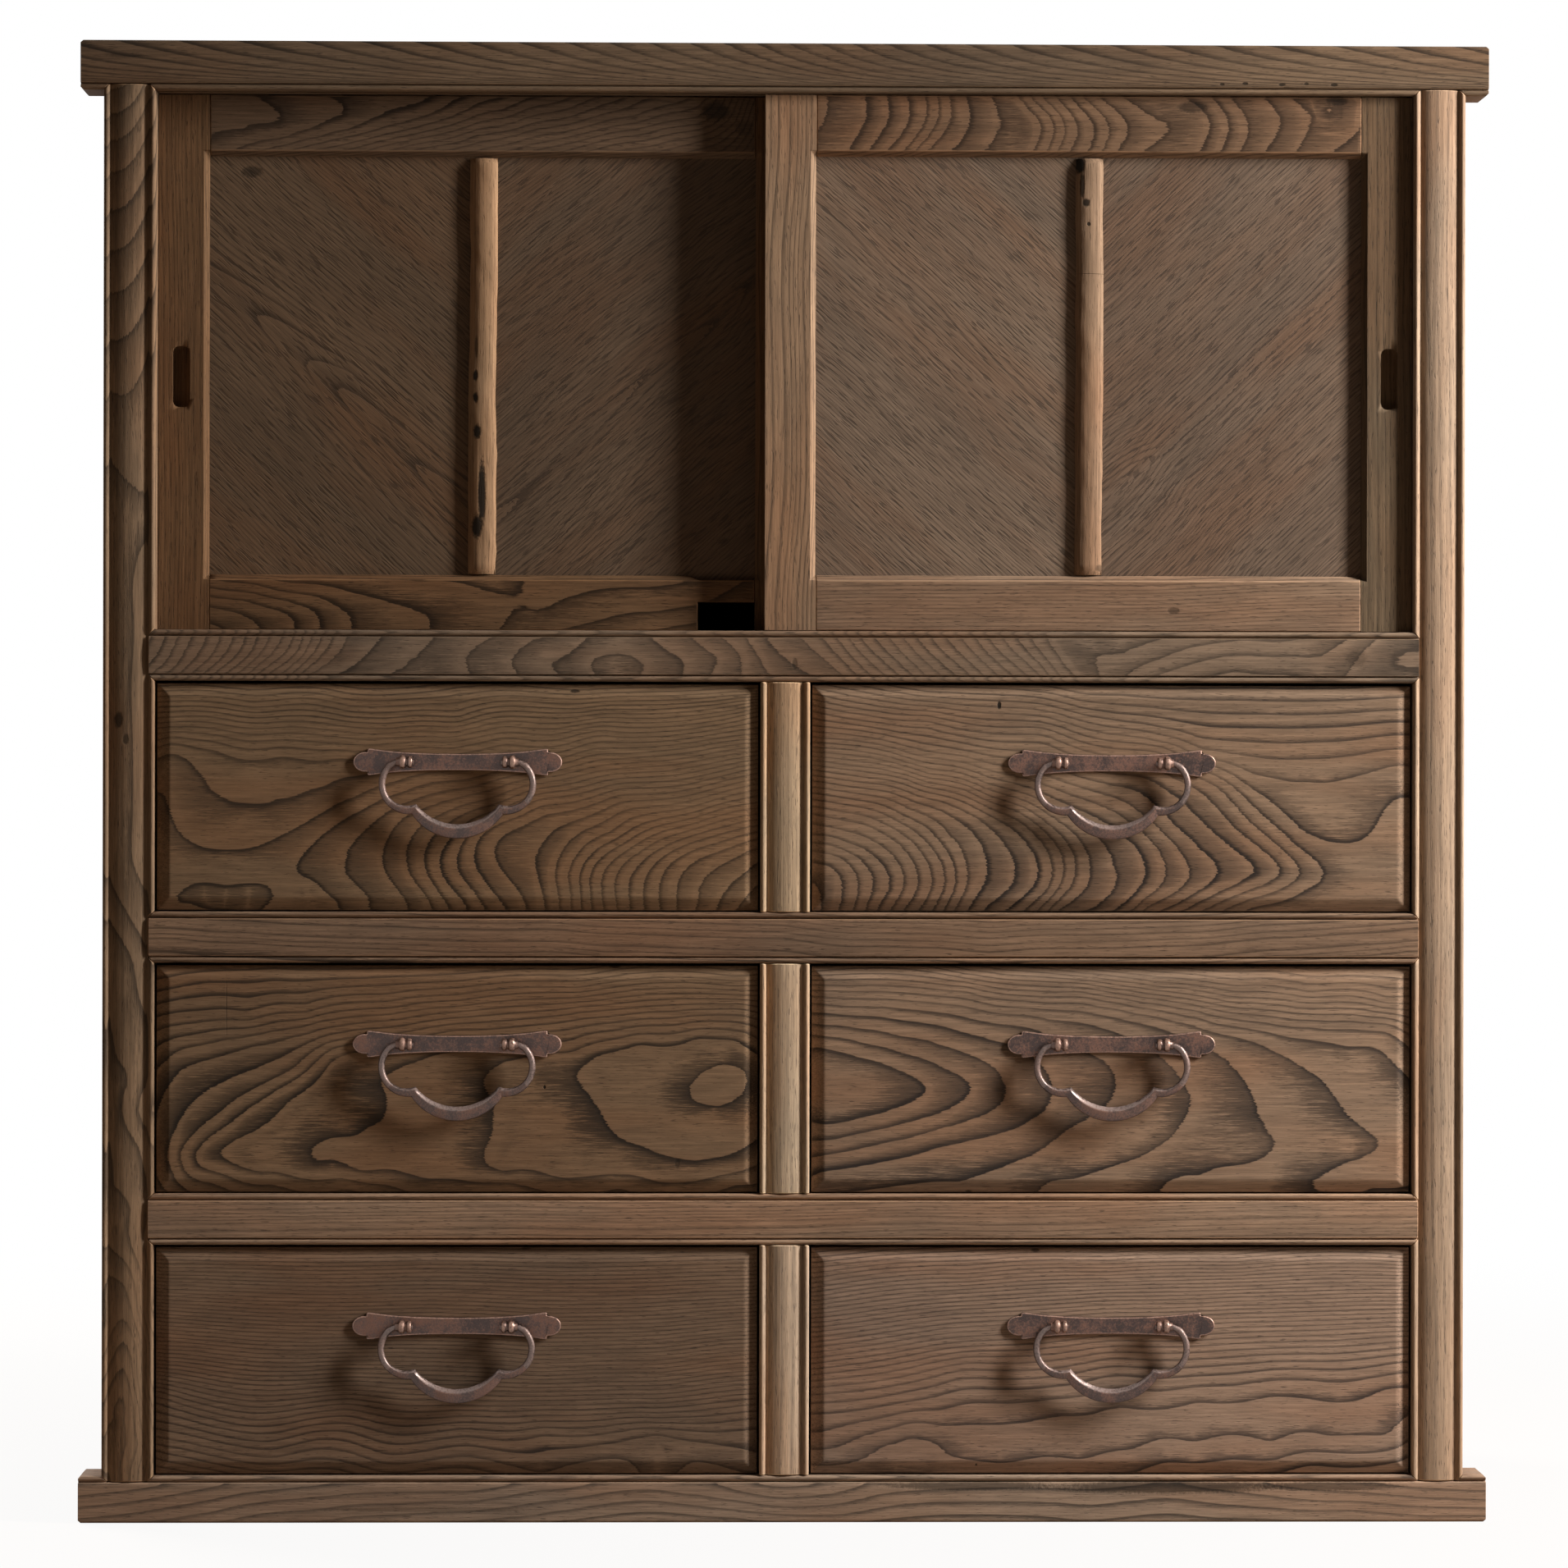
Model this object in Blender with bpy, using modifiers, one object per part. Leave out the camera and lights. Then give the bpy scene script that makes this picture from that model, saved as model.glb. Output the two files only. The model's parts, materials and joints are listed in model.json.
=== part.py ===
"""Tansu cabinet: two sliding doors over six drawers, in a moulded front frame.

The case is boards behind a framed front. The frame is a top rail and a base rail
with short horns, two posts, three cross rails and three dividers, all with a bead
along every opening. The doors are framed panels that run on tongues in grooves,
the left one in the rear groove. Each drawer slides on a floor board between guides
and carries an iron plate with two knuckles, in which a forged bail swings.

Metres, +Z up, front towards -Y, origin on the floor under the middle.
"""

import math

import bmesh
import bpy
from mathutils import Matrix

MM = 0.001

# Case
CASE_WIDTH = 1000.0 * MM
CASE_HEIGHT = 1086.0 * MM
CASE_DEPTH = 430.0 * MM
HORN_LENGTH = 17.0 * MM
HORN_CHAMFER = 2.0 * MM
SIDE_THICKNESS = 18.0 * MM
TOP_THICKNESS = 18.0 * MM
BACK_THICKNESS = 8.0 * MM
BACK_REBATE = 9.0 * MM
BACK_LIFT = 6.0 * MM
FLOOR_THICKNESS = 10.0 * MM
DADO_DEPTH = 5.0 * MM
BOARD_EDGE_ROUND = 1.2 * MM

# Front frame
FRAME_DEPTH = 42.0 * MM
POST_WIDTH = 37.8 * MM
DIVIDER_WIDTH = 36.4 * MM
TOP_RAIL_HEIGHT = 36.4 * MM
BASE_RAIL_HEIGHT = 34.5 * MM
RAIL_HEIGHT = 37.4 * MM
DOOR_OPENING_HEIGHT = 395.0 * MM
DRAWER_ROWS = 3

# Mouldings of the front frame
BEAD_WIDTH = 4.2 * MM
POST_QUIRK_WIDTH = 2.4 * MM
POST_QUIRK_DEPTH = 3.4 * MM
POST_CROWN_RISE = 2.2 * MM
POST_BEAD_SETBACK = 0.3 * MM
RAIL_QUIRK_WIDTH = 1.0 * MM
RAIL_QUIRK_DEPTH = 2.7 * MM
RAIL_CROWN_RISE = 0.6 * MM
RAIL_BEAD_SETBACK = 0.5 * MM
EDGE_ROUND = 2.0 * MM

# Door grooves
GROOVE_PLAY = 0.3 * MM
HEAD_GROOVE_DEPTH = 10.0 * MM
SILL_GROOVE_DEPTH = 4.0 * MM

# Doors
DOOR_OVERLAP = 30.6 * MM
DOOR_THICKNESS = 14.0 * MM
DOOR_RECESS = 6.5 * MM
DOOR_SPACING = 2.0 * MM
DOOR_SIDE_GAP = 0.5 * MM
DOOR_TOP_GAP = 1.0 * MM
DOOR_BOTTOM_GAP = 0.6 * MM
TONGUE_THICKNESS = 6.8 * MM
HEAD_TONGUE = 6.0 * MM
STILE_WIDTH = 37.5 * MM
DOOR_TOP_RAIL = 45.0 * MM
DOOR_BOTTOM_RAIL = 41.0 * MM
DOOR_CHAMFER = 4.2 * MM
PANEL_RECESS = 6.0 * MM
PANEL_THICKNESS = 4.0 * MM
PANEL_TONGUE = 5.0 * MM
TENON_LENGTH = 12.0 * MM
TENON_THICKNESS = 4.0 * MM
TENON_SHOULDER = 7.0 * MM
BATTEN_WIDTH = 21.6 * MM
BATTEN_HEIGHT = 5.2 * MM
PULL_WIDTH = 12.8 * MM
PULL_HEIGHT = 45.0 * MM
PULL_DEPTH = 8.0 * MM
PULL_RADIUS = 4.6 * MM
PULL_INSET = 16.9 * MM
PULL_ABOVE_SILL = 186.0 * MM
NOTCH_WIDTH = 42.0 * MM
NOTCH_HEIGHT = 21.0 * MM
WORN_EDGE_DROP = 3.8 * MM

# Drawers
FRONT_SIDE_GAP = 1.7 * MM
FRONT_TOP_GAP = 2.2 * MM
FRONT_BOTTOM_GAP = 1.2 * MM
FRONT_THICKNESS = 20.0 * MM
FIELD_RECESS = 2.0 * MM
BORDER_WIDTH = 12.0 * MM
BORDER_DROP = 4.0 * MM
TRAY_INSET = 1.0 * MM
TRAY_WALL = 10.0 * MM
TRAY_BOTTOM = 6.0 * MM
TRAY_TOP_DROP = 10.0 * MM
TRAY_BACK_DROP = 12.0 * MM
TRAY_REAR_ROOM = 12.0 * MM
GUIDE_HEIGHT = 20.0 * MM
GUIDE_PLAY = 0.7 * MM

# Handles
PLATE_LENGTH = 153.0 * MM
PLATE_WAIST = 12.0 * MM
PLATE_EAR_HEIGHT = 19.6 * MM
PLATE_EAR_REACH = 65.9 * MM
PLATE_TONGUE_HEIGHT = 15.6 * MM
PLATE_THICKNESS = 1.6 * MM
HANDLE_BELOW_TOP = 59.4 * MM
PIVOT_STANDOFF = 8.2 * MM
KNUCKLE_SPACING = 77.6 * MM
KNUCKLE_LENGTH = 12.0 * MM
KNUCKLE_RADIUS = 5.0 * MM
KNUCKLE_GROOVE = 1.2 * MM
STEM_RADIUS = 3.2 * MM
PIN_RADIUS = 1.9 * MM
PIN_PLAY = 0.3 * MM
PIN_END = 1.4 * MM
ARM_RADIUS = 19.0 * MM
ARM_DROP = 15.8 * MM
ARM_REACH = 36.2 * MM
ROD_RADIUS = 2.1 * MM
CUSP_REACH = 31.6 * MM
CUSP_HALF_WIDTH = 3.5 * MM
LOBE_DROP = 50.4 * MM
LOBE_HALF_WIDTH = 5.2 * MM
LOBE_HALF_THICKNESS = 1.8 * MM
# Share of the arm, from the cusp, over which the flat of the bail draws in to a rod
ROD_START_SHARE = 0.6

# Fits and cuts
GAP = 0.3 * MM
OVERRUN = 3.0 * MM
WELD = 0.001 * MM

# Facets
BEAD_STEPS = 4
CROWN_STEPS = 8
CORNER_STEPS = 3
BATTEN_STEPS = 10
KNUCKLE_SIDES = 12
ROD_SIDES = 8
ARM_STEPS = 11
LOBE_STEPS = 7
EAR_STEPS = 6
TONGUE_STEPS = 7

# Places worked out from the sizes above
CASE_HALF = CASE_WIDTH / 2
OPENING_HALF = CASE_HALF - POST_WIDTH
DOOR_WIDTH = OPENING_HALF - DOOR_SIDE_GAP + DOOR_OVERLAP / 2
TOP_RAIL_BOTTOM = CASE_HEIGHT - TOP_RAIL_HEIGHT
SILL = TOP_RAIL_BOTTOM - DOOR_OPENING_HEIGHT
DRAWER_STACK = SILL - BASE_RAIL_HEIGHT - DRAWER_ROWS * RAIL_HEIGHT
DRAWER_OPENING_HEIGHT = DRAWER_STACK / DRAWER_ROWS
DRAWER_PITCH = DRAWER_OPENING_HEIGHT + RAIL_HEIGHT
DRAWER_OPENING_WIDTH = OPENING_HALF - DIVIDER_WIDTH / 2
BOARD_FRONT = FRAME_DEPTH + GAP
BACK_FACE = CASE_DEPTH - BACK_THICKNESS
FLOOR_REAR = BACK_FACE - GAP
SIDE_INNER = CASE_HALF - SIDE_THICKNESS
HANDLE_PROUD = PIVOT_STANDOFF + KNUCKLE_RADIUS - FIELD_RECESS
FRONT_PLANE_Y = (HANDLE_PROUD - CASE_DEPTH) / 2
MITRE_GAP = GAP * math.sqrt(2)

# Colours, as the photograph shows the stripped, greyed wood and the rusted iron
WOOD_COLOURS = {
    "top": (0.205, 0.150, 0.103, 1.0),
    "post": (0.250, 0.180, 0.120, 1.0),
    "rail": (0.215, 0.158, 0.110, 1.0),
    "door": (0.235, 0.165, 0.110, 1.0),
    "panel": (0.150, 0.110, 0.080, 1.0),
    "batten": (0.420, 0.290, 0.185, 1.0),
    "drawer": (0.250, 0.175, 0.112, 1.0),
    "inside": (0.330, 0.245, 0.165, 1.0),
}
WOOD_ROUGHNESS = 0.72
IRON_COLOUR = (0.175, 0.125, 0.105, 1.0)
IRON_ROUGHNESS = 0.55
IRON_METALLIC = 0.75

# Turns that lay a flat outline into the front, side or plan view
FRONT_VIEW = (math.radians(90), 0.0, 0.0)
SIDE_VIEW = (math.radians(90), 0.0, math.radians(90))
PLAN_VIEW = (0.0, 0.0, 0.0)


def clear_scene():
    for item in list(bpy.data.objects):
        bpy.data.objects.remove(item, do_unlink=True)


def new_collection(name):
    collection = bpy.data.collections.new(name)
    bpy.context.scene.collection.children.link(collection)
    return collection


def principled(name, colour, roughness, metallic):
    material = bpy.data.materials.new(name)
    material.use_nodes = True
    material.diffuse_color = colour
    shader = material.node_tree.nodes["Principled BSDF"]
    shader.inputs["Base Color"].default_value = colour
    shader.inputs["Roughness"].default_value = roughness
    shader.inputs["Metallic"].default_value = metallic
    return material


def wood(node_name, kind):
    return principled(node_name + "_wood", WOOD_COLOURS[kind], WOOD_ROUGHNESS, 0.0)


def iron(node_name):
    return principled(node_name + "_iron", IRON_COLOUR, IRON_ROUGHNESS, IRON_METALLIC)


def add_empty(name, parent, location):
    empty = bpy.data.objects.new(name, None)
    empty.empty_display_size = BEAD_WIDTH
    PARTS.objects.link(empty)
    empty.parent = parent
    empty.location = location
    return empty


def add_part(name, mesh, material, parent, location, rotation=PLAN_VIEW):
    part = bpy.data.objects.new(name, mesh)
    PARTS.objects.link(part)
    part.parent = parent
    part.location = location
    part.rotation_euler = rotation
    mesh.materials.clear()
    mesh.materials.append(material)
    return part


def add_cutter(name, mesh, parent, location, rotation=PLAN_VIEW):
    cutter = bpy.data.objects.new(name, mesh)
    CUTTERS.objects.link(cutter)
    cutter.parent = parent
    cutter.location = location
    cutter.rotation_euler = rotation
    cutter.hide_render = True
    cutter.display_type = "WIRE"
    return cutter


def apply_boolean(part, operation, other):
    modifier = part.modifiers.new(operation.lower() + "_" + other.name, "BOOLEAN")
    modifier.operation = operation
    modifier.object = other


def cut(part, cutter):
    apply_boolean(part, "DIFFERENCE", cutter)


def smooth(mesh):
    mesh.shade_smooth()
    mesh.set_sharp_from_angle(angle=math.radians(40))


def mesh_from_bmesh(name, shape):
    bmesh.ops.recalc_face_normals(shape, faces=shape.faces)
    mesh = bpy.data.meshes.new(name)
    shape.to_mesh(mesh)
    shape.free()
    return mesh


def box_mesh(name, low, high):
    size = [end - start for start, end in zip(low, high)]
    middle = [(end + start) / 2 for start, end in zip(low, high)]
    shape = bmesh.new()
    bmesh.ops.create_cube(shape, size=1.0)
    bmesh.ops.scale(shape, vec=size, verts=shape.verts)
    bmesh.ops.translate(shape, vec=middle, verts=shape.verts)
    return mesh_from_bmesh(name, shape)


def make_whole_caps(shape):
    """Replace the triangles of a filled curve's two flat ends by one face each."""
    pieces = []
    for face in shape.faces:
        heights = [corner.co.z for corner in face.verts]
        if max(heights) - min(heights) < WELD:
            pieces.append(face)
    bmesh.ops.delete(shape, geom=pieces, context="FACES")
    rims = [edge for edge in shape.edges if edge.is_boundary]
    bmesh.ops.holes_fill(shape, edges=rims, sides=0)


def outline_mesh(name, outline, length):
    """Solid of a flat outline, its length lying evenly about the outline's plane."""
    curve = bpy.data.curves.new(name, "CURVE")
    curve.dimensions = "2D"
    curve.fill_mode = "BOTH"
    curve.extrude = length / 2
    spline = curve.splines.new("POLY")
    spline.points.add(len(outline) - 1)
    for point, place in zip(spline.points, outline):
        point.co = (place[0], place[1], 0.0, 1.0)
    spline.use_cyclic_u = True
    guide = bpy.data.objects.new(name, curve)
    bpy.context.scene.collection.objects.link(guide)
    graph = bpy.context.evaluated_depsgraph_get()
    mesh = bpy.data.meshes.new_from_object(guide.evaluated_get(graph))
    bpy.data.objects.remove(guide, do_unlink=True)
    bpy.data.curves.remove(curve)
    shape = bmesh.new()
    shape.from_mesh(mesh)
    bmesh.ops.remove_doubles(shape, verts=shape.verts, dist=WELD)
    make_whole_caps(shape)
    bpy.data.meshes.remove(mesh)
    return mesh_from_bmesh(name, shape)


def arc(centre, radius, start, stop, steps):
    points = []
    for step in range(steps + 1):
        turn = math.radians(start + (stop - start) * step / steps)
        points.append((centre[0] + radius * math.cos(turn), centre[1] + radius * math.sin(turn)))
    return points


def mirrored(points):
    """The points with their mirror images across the second axis, as one closed outline."""
    return points + [(-across, up) for across, up in reversed(points)]


def rounded_rectangle(width, height, radius):
    outline = []
    corners = ((1, 1, 0), (-1, 1, 90), (-1, -1, 180), (1, -1, 270))
    for side, level, start in corners:
        centre = (side * (width / 2 - radius), level * (height / 2 - radius))
        outline += arc(centre, radius, start, start + 90, CORNER_STEPS)
    return outline


def bead_points(start, setback):
    """Half-round bead as (across, depth) points, depth growing away from the front."""
    radius = BEAD_WIDTH / 2
    over_the_top = arc((start + radius, -setback - radius), radius, 180, 0, BEAD_STEPS)
    return [(across, -height) for across, height in over_the_top]


def crown_points(start, stop, rise):
    """Shallow arc from edge to edge that stands highest in the middle."""
    half = (stop - start) / 2
    radius = (half ** 2 + rise ** 2) / (2 * rise)
    spread = math.asin(half / radius)
    points = []
    for step in range(CROWN_STEPS + 1):
        turn = spread * (2 * step / CROWN_STEPS - 1)
        across = start + half + radius * math.sin(turn)
        points.append((across, radius - radius * math.cos(turn)))
    return points


def edge_points(start, towards):
    """Quarter-round edge at a plain side of a rail; towards is 1 or -1 across the face."""
    centre_across = start + towards * EDGE_ROUND
    points = []
    for step in range(CORNER_STEPS + 1):
        turn = math.radians(90 * step / CORNER_STEPS)
        across = centre_across - towards * EDGE_ROUND * math.cos(turn)
        points.append((across, EDGE_ROUND - EDGE_ROUND * math.sin(turn)))
    return points


def moulding(width, quirk_width, quirk_depth, rise, setback):
    """Front of a member with a bead, a quirk and a crown, from one side to the other."""
    shoulder = BEAD_WIDTH + quirk_width
    points = bead_points(0.0, setback)
    points.append((BEAD_WIDTH + quirk_width / 2, quirk_depth))
    points += crown_points(shoulder, width - shoulder, rise)
    points.append((width - BEAD_WIDTH - quirk_width / 2, quirk_depth))
    points += bead_points(width - BEAD_WIDTH, setback)
    return points


def half_moulding(width):
    """Front of a top or base rail: a bead at the opening and a rounded far edge."""
    points = bead_points(0.0, RAIL_BEAD_SETBACK)
    points.append((BEAD_WIDTH + RAIL_QUIRK_WIDTH / 2, RAIL_QUIRK_DEPTH))
    points.append((BEAD_WIDTH + RAIL_QUIRK_WIDTH, RAIL_CROWN_RISE))
    points.append((BEAD_WIDTH + RAIL_QUIRK_WIDTH + EDGE_ROUND, 0.0))
    points += reversed(edge_points(width, -1))
    return points


def rail_section(points, bottom, upward):
    """Turn moulding points into a (depth, height) outline with a square back."""
    outline = [(depth, bottom + upward * across) for across, depth in points]
    outline.append((FRAME_DEPTH, outline[-1][1]))
    outline.append((FRAME_DEPTH, outline[0][1]))
    return outline


def add_moulded_rail(name, section, front_outline, kind):
    """A rail is moulded stock along X, cut to its outline in the front view."""
    stock_length = CASE_WIDTH + 2 * HORN_LENGTH + 2 * OVERRUN
    stock = outline_mesh(name, section, stock_length)
    rail = add_part(name, stock, wood(name, kind), CABINET, (0.0, 0.0, 0.0), SIDE_VIEW)
    shape = outline_mesh(name + "_shape", front_outline, FRAME_DEPTH + 2 * OVERRUN)
    middle = (0.0, FRAME_DEPTH / 2, 0.0)
    trim = add_cutter(name + "_shape", shape, CABINET, middle, FRONT_VIEW)
    apply_boolean(rail, "INTERSECT", trim)
    return rail


def cross_rail_outline(bottom):
    """Front view of a cross rail: its face laps the posts' beads between two mitres."""
    top = bottom + RAIL_HEIGHT
    tip = OPENING_HALF + BEAD_WIDTH
    start = OPENING_HALF - OVERRUN
    points = [
        (start, bottom - OVERRUN),
        (tip, bottom + BEAD_WIDTH),
        (tip, top - BEAD_WIDTH),
        (start, top + OVERRUN),
    ]
    return mirrored(points)


def end_rail_outline(opening_edge, outer_edge, upward):
    """Front view of the top or base rail with its horns and two housings for the posts."""
    horn_end = CASE_HALF + HORN_LENGTH
    housing = opening_edge + upward * (BEAD_WIDTH + GAP)
    slack = BEAD_WIDTH + GAP - MITRE_GAP
    chamfer_out = HORN_CHAMFER + OVERRUN
    points = [
        (OPENING_HALF - MITRE_GAP - OVERRUN, opening_edge - upward * OVERRUN),
        (OPENING_HALF + slack, housing),
        (CASE_HALF - slack, housing),
        (CASE_HALF + MITRE_GAP, opening_edge),
        (CASE_HALF + MITRE_GAP + OVERRUN, opening_edge - upward * OVERRUN),
        (horn_end - chamfer_out, opening_edge - upward * OVERRUN),
        (horn_end, opening_edge + upward * HORN_CHAMFER),
        (horn_end, outer_edge - upward * HORN_CHAMFER),
        (horn_end - chamfer_out, outer_edge + upward * OVERRUN),
    ]
    return mirrored(points)


def cross_rail_bottoms():
    """Bottoms of the cross rails, the upper one under the doors first."""
    return [SILL - RAIL_HEIGHT - row * DRAWER_PITCH for row in range(DRAWER_ROWS)]


def drawer_floor_levels():
    """Tops of the boards that the drawers of each row run on, the upper row first."""
    return [BASE_RAIL_HEIGHT + DRAWER_PITCH * (DRAWER_ROWS - 1 - row) for row in range(DRAWER_ROWS)]


def cut_door_grooves(rail, edge, depth):
    """Two grooves for the doors' tongues, cut upward if depth is positive."""
    half = TONGUE_THICKNESS / 2 + GROOVE_PLAY
    end = OPENING_HALF - DOOR_SIDE_GAP + GROOVE_PLAY
    for index, track in enumerate(("front", "rear")):
        middle = door_face_depth(index) + DOOR_THICKNESS / 2
        levels = sorted((edge - math.copysign(OVERRUN, depth), edge + depth))
        low = (-end, middle - half, levels[0])
        high = (end, middle + half, levels[1])
        name = rail.name + "_" + track + "_groove"
        cut(rail, add_cutter(name, box_mesh(name, low, high), CABINET, (0.0, 0.0, 0.0)))


def door_face_depth(track):
    """Depth of a door's face behind the front plane, for the front track 0 or the rear 1."""
    return DOOR_RECESS + track * (DOOR_THICKNESS + DOOR_SPACING)


def add_rails():
    top_points = half_moulding(TOP_RAIL_HEIGHT)
    top_section = rail_section(top_points, TOP_RAIL_BOTTOM, 1)
    top_outline = end_rail_outline(TOP_RAIL_BOTTOM, CASE_HEIGHT, 1)
    top_rail = add_moulded_rail("top_rail", top_section, top_outline, "top")
    cut_door_grooves(top_rail, TOP_RAIL_BOTTOM, HEAD_GROOVE_DEPTH)

    base_points = half_moulding(BASE_RAIL_HEIGHT)
    base_section = rail_section(base_points, BASE_RAIL_HEIGHT, -1)
    base_outline = end_rail_outline(BASE_RAIL_HEIGHT, 0.0, -1)
    add_moulded_rail("base_rail", base_section, base_outline, "rail")

    points = moulding(
        RAIL_HEIGHT, RAIL_QUIRK_WIDTH, RAIL_QUIRK_DEPTH, RAIL_CROWN_RISE, RAIL_BEAD_SETBACK
    )
    names = ("door_sill_rail", "upper_drawer_rail", "lower_drawer_rail")
    for name, bottom in zip(names, cross_rail_bottoms()):
        section = rail_section(points, bottom, 1)
        rail = add_moulded_rail(name, section, cross_rail_outline(bottom), "rail")
        if name == "door_sill_rail":
            cut_door_grooves(rail, SILL, -SILL_GROOVE_DEPTH)


def post_outline():
    """Front view of the right post: mitred ends and a housing for each cross rail."""
    inner = OPENING_HALF
    outer = CASE_HALF
    foot = BASE_RAIL_HEIGHT
    head = TOP_RAIL_BOTTOM
    outline = [
        (inner - OVERRUN, foot + OVERRUN),
        (inner + BEAD_WIDTH, foot - BEAD_WIDTH),
        (outer - BEAD_WIDTH, foot - BEAD_WIDTH),
        (outer + OVERRUN, foot + OVERRUN),
        (outer + OVERRUN, head - OVERRUN),
        (outer - BEAD_WIDTH, head + BEAD_WIDTH),
        (inner + BEAD_WIDTH, head + BEAD_WIDTH),
        (inner - OVERRUN, head - OVERRUN),
    ]
    seat = BEAD_WIDTH + GAP
    for bottom in cross_rail_bottoms():
        top = bottom + RAIL_HEIGHT
        outline.append((inner - OVERRUN, top + MITRE_GAP + OVERRUN))
        outline.append((inner + seat, top + MITRE_GAP - seat))
        outline.append((inner + seat, bottom - MITRE_GAP + seat))
        outline.append((inner - OVERRUN, bottom - MITRE_GAP - OVERRUN))
    return outline


def add_posts():
    points = moulding(
        POST_WIDTH, POST_QUIRK_WIDTH, POST_QUIRK_DEPTH, POST_CROWN_RISE, POST_BEAD_SETBACK
    )
    middle = OPENING_HALF + POST_WIDTH / 2
    plan = [(across - POST_WIDTH / 2, depth) for across, depth in points]
    plan += [(POST_WIDTH / 2, FRAME_DEPTH), (-POST_WIDTH / 2, FRAME_DEPTH)]
    for name, side in (("left_post", -1), ("right_post", 1)):
        stock = outline_mesh(name, plan, CASE_HEIGHT)
        place = (side * middle, 0.0, CASE_HEIGHT / 2)
        post = add_part(name, stock, wood(name, "post"), CABINET, place)
        outline = [(side * across, up) for across, up in post_outline()]
        shape = outline_mesh(name + "_shape", outline, FRAME_DEPTH + 2 * OVERRUN)
        depth = (0.0, FRAME_DEPTH / 2, 0.0)
        trim = add_cutter(name + "_shape", shape, CABINET, depth, FRONT_VIEW)
        apply_boolean(post, "INTERSECT", trim)


def add_dividers():
    points = moulding(
        DIVIDER_WIDTH, POST_QUIRK_WIDTH, POST_QUIRK_DEPTH, POST_CROWN_RISE, POST_BEAD_SETBACK
    )
    plan = [(across - DIVIDER_WIDTH / 2, depth) for across, depth in points]
    plan += [(DIVIDER_WIDTH / 2, FRAME_DEPTH), (-DIVIDER_WIDTH / 2, FRAME_DEPTH)]
    for row, level in enumerate(drawer_floor_levels()):
        name = "divider_row_%d" % (row + 1)
        stock = outline_mesh(name, plan, DRAWER_OPENING_HEIGHT - 2 * GAP)
        place = (0.0, 0.0, level + DRAWER_OPENING_HEIGHT / 2)
        add_part(name, stock, wood(name, "post"), CABINET, place)


def floor_span():
    """Half the width of a floor board, whose ends stand in the side boards' dados."""
    return SIDE_INNER + DADO_DEPTH - GAP


def add_side_boards():
    height = CASE_HEIGHT - TOP_THICKNESS - GAP
    levels = [SILL] + drawer_floor_levels()
    for name, side in (("left_side_board", -1), ("right_side_board", 1)):
        edges = sorted((side * SIDE_INNER, side * CASE_HALF))
        mesh = box_mesh(name, (edges[0], BOARD_FRONT, 0.0), (edges[1], CASE_DEPTH, height))
        board = add_part(name, mesh, wood(name, "top"), CABINET, (0.0, 0.0, 0.0))
        for index, level in enumerate(levels):
            reach = sorted((side * (SIDE_INNER - OVERRUN), side * (SIDE_INNER + DADO_DEPTH)))
            low = (reach[0], BOARD_FRONT - OVERRUN, level - FLOOR_THICKNESS - GAP)
            high = (reach[1], BACK_FACE, level + GAP)
            dado = "%s_dado_%d" % (name, index + 1)
            cut(board, add_cutter(dado, box_mesh(dado, low, high), CABINET, (0.0, 0.0, 0.0)))
        reach = sorted((side * (SIDE_INNER - OVERRUN), side * (SIDE_INNER + BACK_REBATE)))
        rebate = name + "_rebate"
        low = (reach[0], BACK_FACE - GAP, -OVERRUN)
        high = (reach[1], CASE_DEPTH + OVERRUN, height + OVERRUN)
        cut(board, add_cutter(rebate, box_mesh(rebate, low, high), CABINET, (0.0, 0.0, 0.0)))


def add_top_and_back():
    low = (-CASE_HALF, BOARD_FRONT, CASE_HEIGHT - TOP_THICKNESS)
    high = (CASE_HALF, CASE_DEPTH, CASE_HEIGHT)
    mesh = box_mesh("top_board", low, high)
    top = add_part("top_board", mesh, wood("top_board", "top"), CABINET, (0.0, 0.0, 0.0))
    rounding = top.modifiers.new("edge_round", "BEVEL")
    rounding.width = BOARD_EDGE_ROUND
    rounding.segments = 2

    half = SIDE_INNER + BACK_REBATE - GAP
    low = (-half, BACK_FACE, BACK_LIFT)
    high = (half, CASE_DEPTH, CASE_HEIGHT - TOP_THICKNESS - GAP)
    mesh = box_mesh("back_board", low, high)
    add_part("back_board", mesh, wood("back_board", "inside"), CABINET, (0.0, 0.0, 0.0))


def add_compartment_floor():
    name = "compartment_floor"
    half = floor_span()
    mesh = box_mesh(name, (-half, BOARD_FRONT, SILL - FLOOR_THICKNESS), (half, FLOOR_REAR, SILL))
    add_part(name, mesh, wood(name, "inside"), CABINET, (0.0, 0.0, 0.0))


def drawer_floor_outline():
    """Front view of a drawer floor: a board with a guide at each side and one between."""
    half = floor_span()
    outer_guide = OPENING_HALF - FRONT_SIDE_GAP - TRAY_INSET + GUIDE_PLAY
    inner_guide = DIVIDER_WIDTH / 2 + FRONT_SIDE_GAP + TRAY_INSET - GUIDE_PLAY
    guide_back = SIDE_INNER - GAP
    points = [
        (inner_guide, GUIDE_HEIGHT),
        (inner_guide, 0.0),
        (outer_guide, 0.0),
        (outer_guide, GUIDE_HEIGHT),
        (guide_back, GUIDE_HEIGHT),
        (guide_back, 0.0),
        (half, 0.0),
        (half, -FLOOR_THICKNESS),
    ]
    return mirrored(points)


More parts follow.
